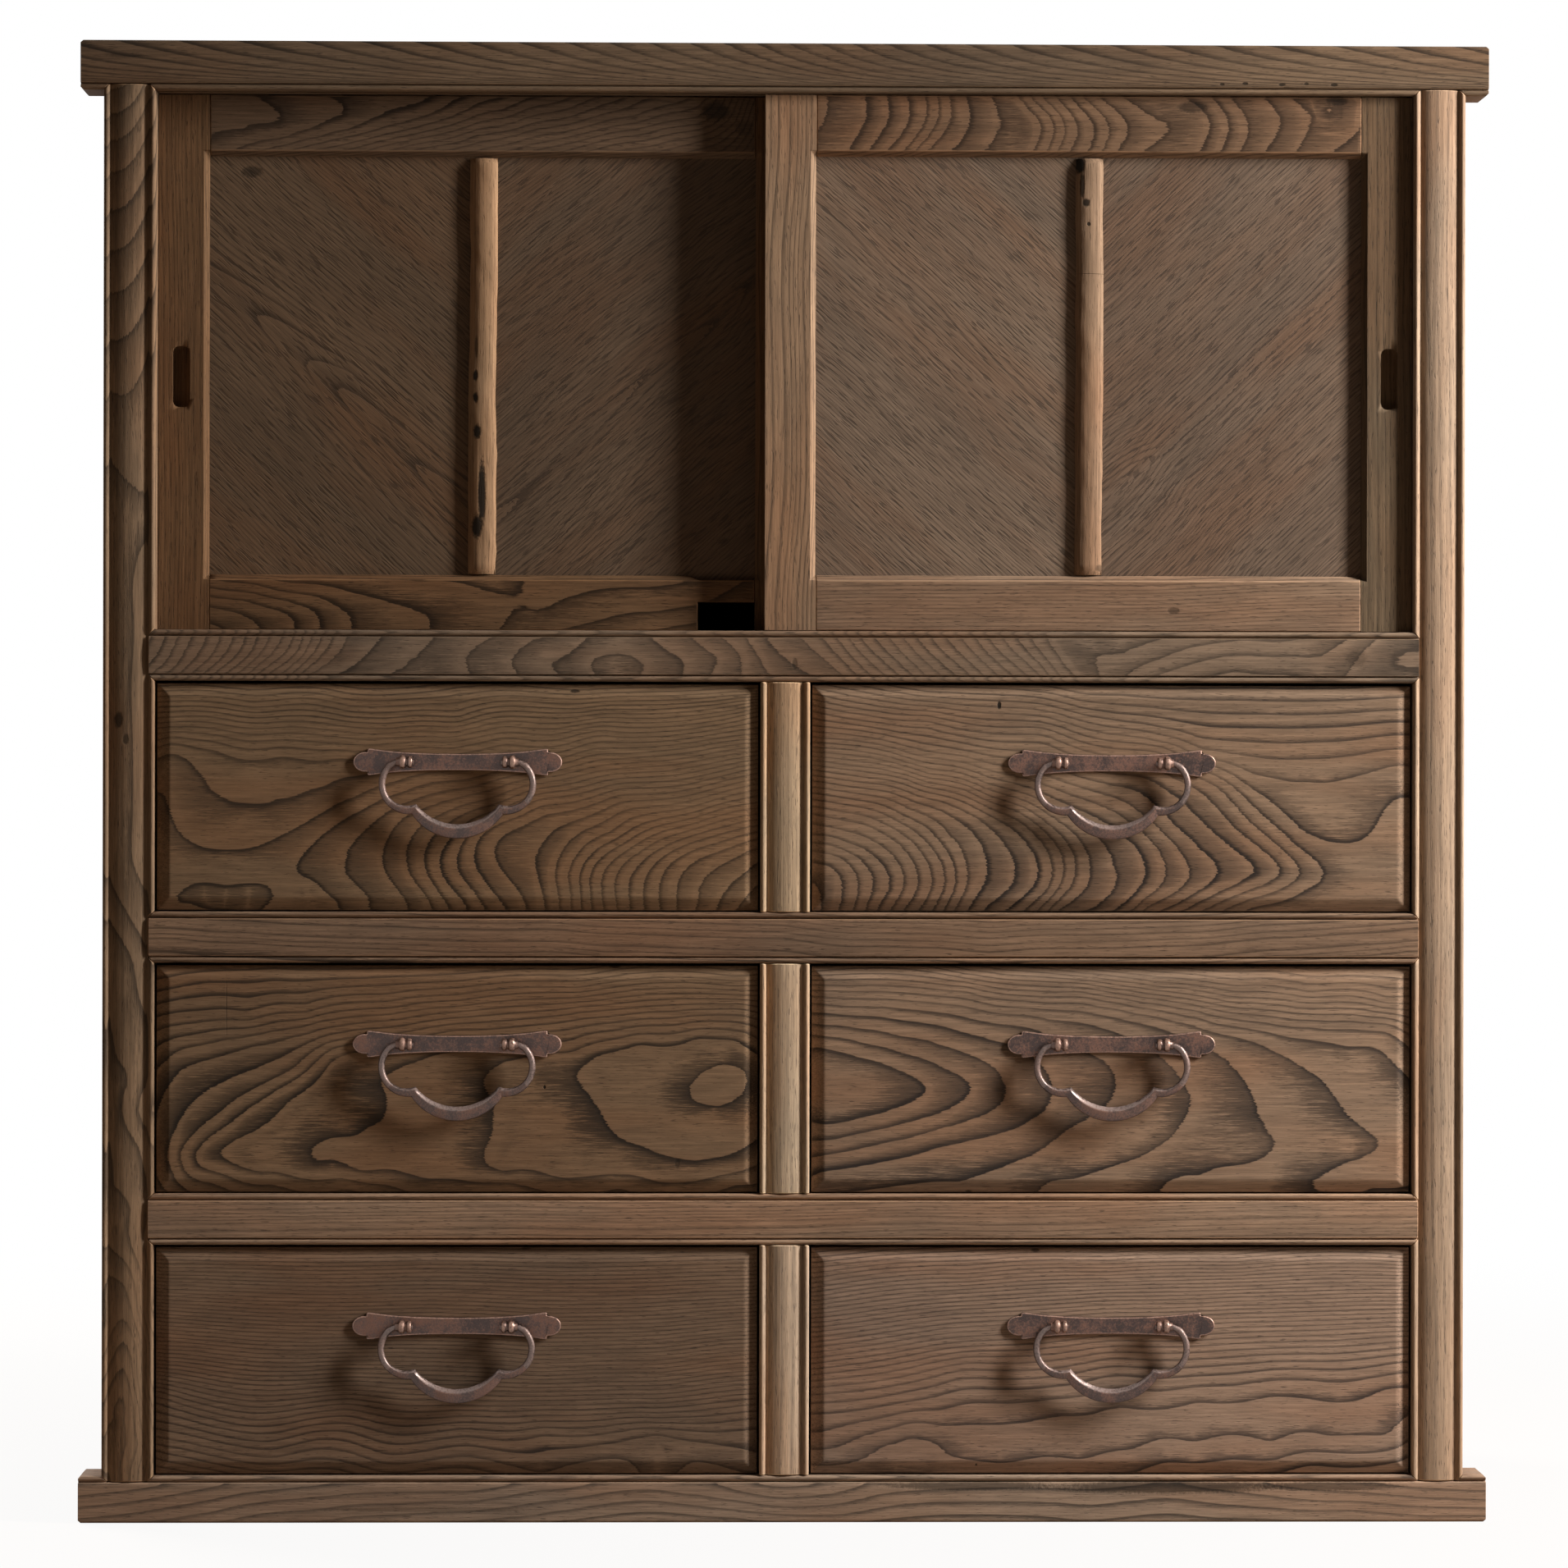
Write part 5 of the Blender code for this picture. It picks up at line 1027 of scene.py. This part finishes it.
def dress_battens():
    """Peeled poles: a little crooked, with low swellings, and scars of bark in the material."""
    for seed, node in enumerate(("left_door_batten", "right_door_batten")):
        piece = finer_copy(node, (2.0 * MM, 0.0, 4.0 * MM))
        low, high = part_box(node)
        half = (high.x - low.x) / 2
        points = points_of(piece.data)
        height = points[:, 2] - low.z
        share = (points[:, 0] - (low.x + half)) / half
        thinner = 0.06 * (1 + drift(height, seed + 300, 0.22)) / 2
        lumps = 0.03 * (1 + drift(height + 0.02 * share, seed + 310, 0.05))
        girth = 1 - thinner - lumps
        shift = 0.9 * MM * drift(height, seed + 320, 0.5)
        room = half * (1 - girth)
        points[:, 0] = low.x + half + share * half * girth + np.clip(shift, -room, room)
        front = points[:, 1] < high.y - 1.0 * MM
        points[front, 1] = high.y - (high.y - points[front, 1]) * girth[front]
        end = np.minimum(height, high.z - points[:, 2])
        blunt = np.clip(1 - end / (3.0 * MM), 0.0, 1.0) ** 2
        points[front, 1] += (2.2 * MM * blunt)[front]
        piece.data.vertices.foreach_set("co", points.astype(np.float32).ravel())
        piece.data.update()

        def rings_at(places):
            across = places[:, 0] - low.x + 0.5 * (places[:, 1] - low.y)
            return (across + 1.5 * MM * drift(places[:, 2], seed + 330, 0.3)) / (5.0 * MM)

        give_rings(piece.data, rings_at, FIBRES["Z"])
        stand_for(piece, node, wood_material(node, "batten", seed + 90, "Z", 0.0, 0.35, 0.3))


# The border round a drawer front's field: its width, how far its edge lies back, and how
# round its shoulder is
BORDER = 10.0 * MM
BORDER_DROP = 4.0 * MM
SHOULDER = 0.16


def border_drop(distance):
    """How far the face of a drawer front lies back at some distance from its edge."""
    inward = np.clip(1 - distance / BORDER, 0.0, 1.0)
    rounded = np.sqrt(inward ** 2 + SHOULDER ** 2) - SHOULDER
    return BORDER_DROP * rounded / (math.sqrt(1 + SHOULDER ** 2) - SHOULDER)


def spread(low, high):
    """Places from low to high, 1 mm apart over the border and 3 mm between."""
    start = np.arange(low, low + 13 * MM, 1.0 * MM)
    stop = high - (start - low)[::-1]
    count = int((stop[0] - start[-1]) / (3.0 * MM))
    return np.concatenate([start, np.linspace(start[-1], stop[0], count + 1)[1:-1], stop])


def drawer_front(node):
    """A front on a grid that takes the border's slope, with plain sides and back."""
    low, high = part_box(node)
    x, z = np.meshgrid(spread(low.x, high.x), spread(low.z, high.z))
    edge = np.minimum(np.minimum(x - low.x, high.x - x), np.minimum(z - low.z, high.z - z))
    y = low.y + border_drop(np.maximum(edge, 0.0))
    shape = bmesh.new()
    grid = [[shape.verts.new(tuple(place)) for place in row] for row in np.stack([x, y, z], -1)]
    for lower, upper in zip(grid, grid[1:]):
        for corners in zip(lower, lower[1:], upper[1:], upper):
            shape.faces.new(corners)
    rim = grid[0] + [row[-1] for row in grid[1:]] + grid[-1][-2::-1] + [row[0] for row in grid[-2:0:-1]]
    back = [shape.verts.new((vertex.co.x, high.y, vertex.co.z)) for vertex in rim]
    for corners in zip(rim, back, back[1:] + back[:1], rim[1:] + rim[:1]):
        shape.faces.new(corners)
    shape.faces.new(back[::-1])
    bmesh.ops.recalc_face_normals(shape, faces=shape.faces)
    return new_piece(node + "_wood", shape)


# Drawer: its figure, which way its ring numbers run, and the strength of its smoke
FRONTS = {
    "drawer_1_left": (FIGURE_1_LEFT, 1.0, 0.7),
    "drawer_1_right": (FIGURE_1_RIGHT, 1.0, 0.75),
    "drawer_2_left": (FIGURE_2_LEFT, -1.0, 1.1),
    "drawer_2_right": (FIGURE_2_RIGHT, -1.0, 1.05),
    "drawer_3_left": (FIGURE_3_LEFT, -1.0, 0.8),
    "drawer_3_right": (FIGURE_3_RIGHT, 1.0, 0.9),
}
RINGS_INTO_FRONT = 0.4 / MM


def dress_drawers():
    for seed, (drawer, (lines, sign, feathers)) in enumerate(FRONTS.items(), 20):
        node = drawer + "_front"
        piece = drawer_front(node)
        low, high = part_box(node)
        # a little more than the deepest place of the border
        face_y = low.y + 4.1 * MM
        unit = (high.x - low.x) / FIGURE_WIDTH
        rings_at = drawn_rings(lines, (low.x, high.z), unit, RINGS_INTO_FRONT, face_y, sign)
        give_rings(piece.data, rings_at, FIBRES["X"])
        stand_for(piece, node, wood_material(node, "drawer", seed, feathers=feathers))


def dress_trays():
    """Trays, with their fibres from front to back."""
    for seed, node in enumerate(node for node in NODES if node.endswith("_tray")):
        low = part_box(node)[0]
        piece = finer_copy(node, (14 * MM, 30 * MM, 12 * MM), TRAY_ARRIS)

        def rings_at(points):
            across = (points[:, 0] - low.x) * 0.8 + points[:, 2] - low.z
            across = across + 4 * MM * drift(points[:, 1], seed + 400, 0.4)
            return (across + 8 * MM * drift(across, seed + 410, 0.09)) / (8.0 * MM)

        give_rings(piece.data, rings_at, FIBRES["Y"])
        stand_for(piece, node, wood_material(node, "inside", seed + 120, "Y", 0.0, 0.6, 0.5))


# ---------------------------------------------------------------- handles

def ring_loft(shape, rings, closed=False):
    """Skin a bmesh between rings of vertices, capped at both ends unless they close up."""
    made = []
    for ring, following in zip(rings, rings[1:] + rings[:1] if closed else rings[1:]):
        for corners in zip(ring, ring[1:] + ring[:1], following[1:] + following[:1], following):
            made.append(shape.faces.new(corners))
    if not closed:
        shape.faces.new(rings[0])
        shape.faces.new(list(reversed(rings[-1])))
    return made


def turns(count):
    return [2 * math.pi * step / count for step in range(count)]


# Half of the plate's upper edge from its middle to its end: across and up, in millimetres
PLATE_EDGE = (
    (0.0, 6.0), (10.0, 6.05), (20.0, 6.25), (30.0, 6.6), (40.0, 7.15), (48.0, 7.8), (55.0, 8.6), (60.0, 9.3),
    (63.0, 9.7), (65.2, 9.8), (65.9, 9.5), (66.1, 8.6), (66.0, 7.7), (66.6, 7.2), (68.2, 7.3), (70.2, 7.0),
    (72.4, 6.2), (74.2, 5.0), (75.5, 3.4), (76.3, 1.7), (76.5, 0.0),
)
PLATE_RIM = 0.8 * MM
PLATE_THICKNESS = 1.6 * MM
# The rim's bevel, in shares of the rim: inwards, and back from the face
PLATE_BEVEL = ((0.0, 0.8), (0.35, 0.2), (1.1, 0.0))
# The bail's axis behind the knuckles' front, and each knuckle's distance from the middle
PIVOT_BEHIND = 5.0 * MM
KNUCKLE_AT = 38.8 * MM
# A knuckle's section: outwards along the pin, and radius, in millimetres, round the bore and
# back over the ribs, and which of its bands are rubbed bare
KNUCKLE_PROFILE = (
    (-6.0, 2.2), (-6.0, 3.2), (-5.6, 4.0), (-4.6, 4.4), (-3.4, 4.4), (-2.5, 4.0), (-2.1, 3.2), (-1.3, 3.1),
    (-0.9, 3.9), (-0.2, 4.7), (1.0, 5.0), (2.2, 4.9), (3.2, 4.4), (3.8, 3.4), (6.0, 3.0), (6.0, 2.2),
)
RUBBED_BANDS = (2, 3, 9, 10, 11)
KNUCKLE_SIDES = 28
STEM_RADIUS = 3.2 * MM
STEM_SIDES = 16


def inset(outline, distance):
    """The same outline drawn in on itself by a distance."""
    points = np.array(outline)
    ahead = np.roll(points, -1, axis=0) - points
    ahead /= np.linalg.norm(ahead, axis=1)[:, None]
    along = ahead + np.roll(ahead, 1, axis=0)
    along /= np.maximum(np.linalg.norm(along, axis=1)[:, None], 1e-6)
    return points + distance * np.column_stack([-along[:, 1], along[:, 0]])


def add_knuckle(shape, side, middle, face):
    """A ribbed knuckle round the middle, bored for the bail's pin, on a stem from the plate's face."""
    x, y, z = middle
    rings = []
    for angle in turns(KNUCKLE_SIDES):
        up, back = math.cos(angle), math.sin(angle)
        rings.append([
            shape.verts.new((x + side * along * MM, y + radius * MM * back, z + radius * MM * up))
            for along, radius in KNUCKLE_PROFILE
        ])
    worn = shape.faces.layers.float["worn"]
    for number, made in enumerate(ring_loft(shape, rings, closed=True)):
        made[worn] = 0.9 if number % len(KNUCKLE_PROFILE) in RUBBED_BANDS else 0.2
    stem = []
    # it ends inside the plate and inside the knuckle's wall
    for depth in (face + 0.4 * MM, y + 2.6 * MM):
        stem.append([
            shape.verts.new((x + STEM_RADIUS * math.cos(angle), depth, z + STEM_RADIUS * math.sin(angle)))
            for angle in turns(STEM_SIDES)
        ])
    ring_loft(shape, stem)


def make_plate(node):
    """Handle plate with pointed ears and a bevelled rim, and two ribbed knuckles."""
    low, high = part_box(node)
    middle = (low + high) / 2
    quarter = [(x * MM, z * MM) for x, z in PLATE_EDGE]
    upper = [(-x, z) for x, z in reversed(quarter[1:])] + quarter
    outline = upper[::-1] + [(x, -z) for x, z in upper[1:-1]]
    face = high.y - PLATE_THICKNESS
    shape = bmesh.new()
    worn = shape.faces.layers.float.new("worn")
    levels = [(0.0, high.y)] + [(PLATE_RIM * inwards, face + PLATE_RIM * back) for inwards, back in PLATE_BEVEL]
    rings = [
        [shape.verts.new((middle.x + x, depth, middle.z + z)) for x, z in inset(outline, distance)]
        for distance, depth in levels
    ]
    for number, made in enumerate(ring_loft(shape, rings)):
        # the sides below the bevel aren't rubbed
        made[worn] = 0.85 if number >= len(outline) else 0.0
    bmesh.ops.triangulate(shape, faces=[made for made in shape.faces if len(made.verts) > 4])
    for side in (-1, 1):
        add_knuckle(shape, side, (middle.x + side * KNUCKLE_AT, low.y + PIVOT_BEHIND, middle.z), face)
    bmesh.ops.recalc_face_normals(shape, faces=shape.faces)
    return new_piece(node + "_iron", shape)


# The bail, in millimetres: the circles of its arms, the cusps where they meet the lobe, and the
# lobe's lowest place, all from the middle of the pins' axis
ARM_RADIUS, ARM_DROP, ARM_REACH = 19.0, 15.8, 36.2
CUSP_REACH = 31.6
LOBE_DROP = 50.4
# Half widths at the lobe's middle, the cusps and the arms, and half thicknesses of arms and lobe
LOBE_WIDTH, CUSP_WIDTH, ARM_WIDTH = 5.2, 3.4, 2.4
ARM_THICKNESS, LOBE_THICKNESS = 2.3, 1.8
PIN_RADIUS = 1.9
# The bail's top over the pins' axis, which is also how far below it the arms' circles end
ARM_RISE = 2.1
# Places across where the pins have stations, inwards through the knuckle to the pin's end
PIN_STATIONS = (45.4, 44.8, 34.0, 31.9)
LOBE_STEPS, ARM_STEPS = 20, 32
# Part of the arm over which the lobe's section gives way to the round one
TAPER_END = 0.55


def bail_path():
    """The bail's stations from one pin's end to the other.

    Each has its place across and up, half width and half thickness in millimetres, and how
    far its section is the lobe's and not round.
    """
    cusp_up = -ARM_DROP - math.sqrt(ARM_RADIUS ** 2 - (ARM_REACH - CUSP_REACH) ** 2)
    sagitta = LOBE_DROP + cusp_up
    lobe_radius = (CUSP_REACH ** 2 + sagitta ** 2) / (2 * sagitta)
    lobe_spread = math.asin(CUSP_REACH / lobe_radius)
    half = []
    for step in range(LOBE_STEPS + 1):
        share = step / LOBE_STEPS
        turn = lobe_spread * share
        width = LOBE_WIDTH + (CUSP_WIDTH - LOBE_WIDTH) * share ** 2.2
        up = lobe_radius * (1 - math.cos(turn)) - LOBE_DROP
        half.append((lobe_radius * math.sin(turn), up, width, LOBE_THICKNESS, 1.0))
    cusp_turn = math.atan2(cusp_up + ARM_DROP, CUSP_REACH - ARM_REACH)
    rod_turn = math.asin((ARM_DROP - ARM_RISE) / ARM_RADIUS)
    for step in range(1, ARM_STEPS + 1):
        share = step / ARM_STEPS
        turn = cusp_turn + (rod_turn - cusp_turn) * share
        taper = max(0.0, 1 - share / TAPER_END)
        width = ARM_WIDTH + (CUSP_WIDTH - ARM_WIDTH) * taper ** 1.5
        thick = ARM_THICKNESS + (LOBE_THICKNESS - ARM_THICKNESS) * taper
        across = ARM_REACH + ARM_RADIUS * math.cos(turn)
        half.append((across, ARM_RADIUS * math.sin(turn) - ARM_DROP, width, thick, taper))
    half += [(across, 0.0, PIN_RADIUS, PIN_RADIUS, 0.0) for across in PIN_STATIONS]
    return [(-across, *rest) for across, *rest in reversed(half[1:])] + half


# Section of the lobe: share of its half width towards the inner edge, and share of its half
# thickness towards the drawer. Its flat front and its inner bevel meet in a ridge, and the
# bevel is its last two sides.
LOBE_SECTION = (
    (1.00, -0.05), (0.97, 0.45), (0.85, 0.85), (0.50, 1.0), (0.0, 1.0), (-0.45, 1.0), (-0.80, 0.85),
    (-0.95, 0.45), (-1.00, 0.0), (-0.97, -0.45), (-0.86, -0.80), (-0.55, -1.05), (-0.15, -1.25),
    (0.20, -1.42), (0.42, -1.45), (0.76, -0.75),
)
BAIL_SIDES = len(LOBE_SECTION)


def make_bail(node):
    """One loft: round pins and arms, sharp scallops, and a lobe with a flat front and a bevel."""
    low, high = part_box(node)
    centre_x = (low.x + high.x) / 2
    pivot_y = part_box(node.replace("_bail", "_plate"))[0].y + PIVOT_BEHIND
    pivot_z = high.z - ARM_RISE * MM
    stations = bail_path()
    places = np.array([station[:2] for station in stations])
    steps = np.diff(places, axis=0)
    steps /= np.linalg.norm(steps, axis=1)[:, None]
    shape = bmesh.new()
    worn = shape.faces.layers.float.new("worn")
    rings = []
    for number, (x, z, width, thick, lobe) in enumerate(stations):
        first = steps[max(number - 1, 0)]
        tangent = first + steps[min(number, len(steps) - 1)]
        tangent /= np.linalg.norm(tangent)
        # a mitred corner is wider than what meets in it
        width *= min(1 / max(float(tangent @ first), 0.35), 1.6)
        ring = []
        for angle, (inner, behind) in zip(turns(BAIL_SIDES), LOBE_SECTION):
            reach = width * (math.cos(angle) + lobe * (inner - math.cos(angle)))
            lift = thick * (math.sin(angle) + lobe * (behind - math.sin(angle)))
            across, up = x - tangent[1] * reach, z + tangent[0] * reach
            ring.append(shape.verts.new((centre_x + across * MM, pivot_y + lift * MM, pivot_z + up * MM)))
        rings.append(ring)
    for number, made in enumerate(ring_loft(shape, rings)):
        row, side = divmod(number, BAIL_SIDES)
        on_lobe, on_bevel = stations[row][4] > 0.3, side >= BAIL_SIDES - 2
        made[worn] = 0.5 if not on_lobe else 0.7 if on_bevel else 0.1
    bmesh.ops.recalc_face_normals(shape, faces=shape.faces)
    return new_piece(node + "_iron", shape)


# Colour of the metal where a handle is rubbed
PLATE_BARE = (0.34, 0.200, 0.145)
BAIL_BARE = (0.25, 0.185, 0.160)


def dress_handles():
    for seed, node in enumerate(node for node in NODES if SLOT_OF[node] == "handle_iron"):
        make, bare = (make_plate, PLATE_BARE) if node.endswith("_plate") else (make_bail, BAIL_BARE)
        stand_for(make(node), node, iron_material(node + "_iron", seed, bare))


# ---------------------------------------------------------------- stage

AMBIENT = 0.018
AMBIENT_TINT = (1.0, 0.70, 0.48)
FLOOR_COLOUR = (0.26, 0.20, 0.15, 1.0)
FLOOR_REACH = 6.0
# Between these distances from the middle the floor turns from nearly white to the world's white
FLOOR_NEAR, FLOOR_FAR = 0.7, 2.2


def backdrop_rays(tree):
    """1 for the rays that see a white backdrop: the camera's, and those of gloss and glass."""
    rays = tree.nodes.new("ShaderNodeLightPath").outputs
    seen = tree.most(rays["Is Camera Ray"], rays["Is Glossy Ray"])
    return tree.most(seen, rays["Is Transmission Ray"])


def make_stage():
    """White floor that keeps the cabinet's faint shadow, and a white world for camera and gloss."""
    mesh = bpy.data.meshes.new("floor")
    corners = [(x * FLOOR_REACH, y * FLOOR_REACH, 0) for x, y in ((-1, -1), (1, -1), (1, 1), (-1, 1))]
    mesh.from_pydata(corners, [], [(0, 1, 2, 3)])
    floor = bpy.data.objects.new("floor", mesh)
    bpy.context.scene.collection.objects.link(floor)
    material = bpy.data.materials.new("floor")
    tree = Tree(material)
    tree.shader.inputs["Base Color"].default_value = FLOOR_COLOUR
    tree.shader.inputs["Roughness"].default_value = 0.9
    glow = tree.nodes.new("ShaderNodeEmission")
    blend = tree.nodes.new("ShaderNodeMixShader")
    away = tree.vector("LENGTH", tree.place())
    share = tree.remap(away, FLOOR_NEAR, FLOOR_FAR, 0.84, 1.0)
    tree.put(blend.inputs["Fac"], tree.times(backdrop_rays(tree), share))
    tree.put(glow.inputs["Strength"], tree.remap(away, FLOOR_NEAR, FLOOR_FAR, 1.09, 1.0))
    tree.put(blend.inputs[1], tree.shader.outputs[0])
    tree.put(blend.inputs[2], glow.outputs[0])
    tree.put(tree.nodes["Material Output"].inputs["Surface"], blend.outputs[0])
    mesh.materials.append(material)

    world = bpy.data.worlds.new("studio")
    bpy.context.scene.world = world
    tree = Tree(world)
    seen = backdrop_rays(tree)
    background = tree.nodes["Background"]
    tree.put(background.inputs["Strength"], tree.remap(seen, 0.0, 1.0, AMBIENT, 1.0))
    tree.put(background.inputs["Color"], tree.mix(seen, AMBIENT_TINT, (1.0, 1.0, 1.0)))


def add_light(name, place, target, width, height, power):
    lamp = bpy.data.lights.new(name, "AREA")
    lamp.shape = "RECTANGLE"
    lamp.size = width
    lamp.size_y = height
    lamp.energy = power
    thing = bpy.data.objects.new(name, lamp)
    thing.location = place
    thing.rotation_euler = (Vector(target) - Vector(place)).to_track_quat("-Z", "Y").to_euler()
    bpy.context.scene.collection.objects.link(thing)


CAMERA_PLACE = (-0.1000, -4.2094, 0.56)
# Turns of the camera in degrees: to the left, upwards, and about its axis
CAMERA_TURNS = (-1.2808, -0.0609, 0.1192)


def make_camera():
    """The photograph's camera: a little left of the middle and almost level, with a small shift."""
    data = bpy.data.cameras.new("camera")
    data.sensor_width = 36.0
    data.lens = 125.172
    data.shift_x = 0.0083
    data.shift_y = -0.0118
    yaw, pitch, roll = (math.radians(angle) for angle in CAMERA_TURNS)
    right = Vector((math.cos(yaw), math.sin(yaw), 0.0))
    forward = Vector((-math.sin(yaw), math.cos(yaw), 0.0))
    up = Vector((0.0, 0.0, 1.0))
    ahead = forward * math.cos(pitch) + up * math.sin(pitch)
    above = up * math.cos(pitch) - forward * math.sin(pitch)
    side = right * math.cos(roll) + above * math.sin(roll)
    top = above * math.cos(roll) - right * math.sin(roll)
    camera = bpy.data.objects.new("camera", data)
    bpy.context.scene.collection.objects.link(camera)
    turn = Matrix((side, top, -ahead)).transposed().to_4x4()
    camera.matrix_world = Matrix.Translation(CAMERA_PLACE) @ turn
    bpy.context.scene.camera = camera


make_camera()
make_stage()
add_light("window", (1.92, -0.74, 1.40), (0.0, -0.21, 0.10), 0.28, 1.10, 100.0)
add_light("behind", (-1.70, 1.80, 2.10), (-0.20, 0.10, 0.50), 1.40, 1.40, 95.0)
dress_boards()
dress_drawn()
dress_panels()
dress_battens()
dress_drawers()
dress_trays()
dress_handles()
left_over = [node for node, thing in NODES.items() if not thing.hide_render]
if left_over:
    raise RuntimeError("nodes without a finer piece: %s" % left_over)
bpy.context.scene.view_settings.view_transform = "Standard"
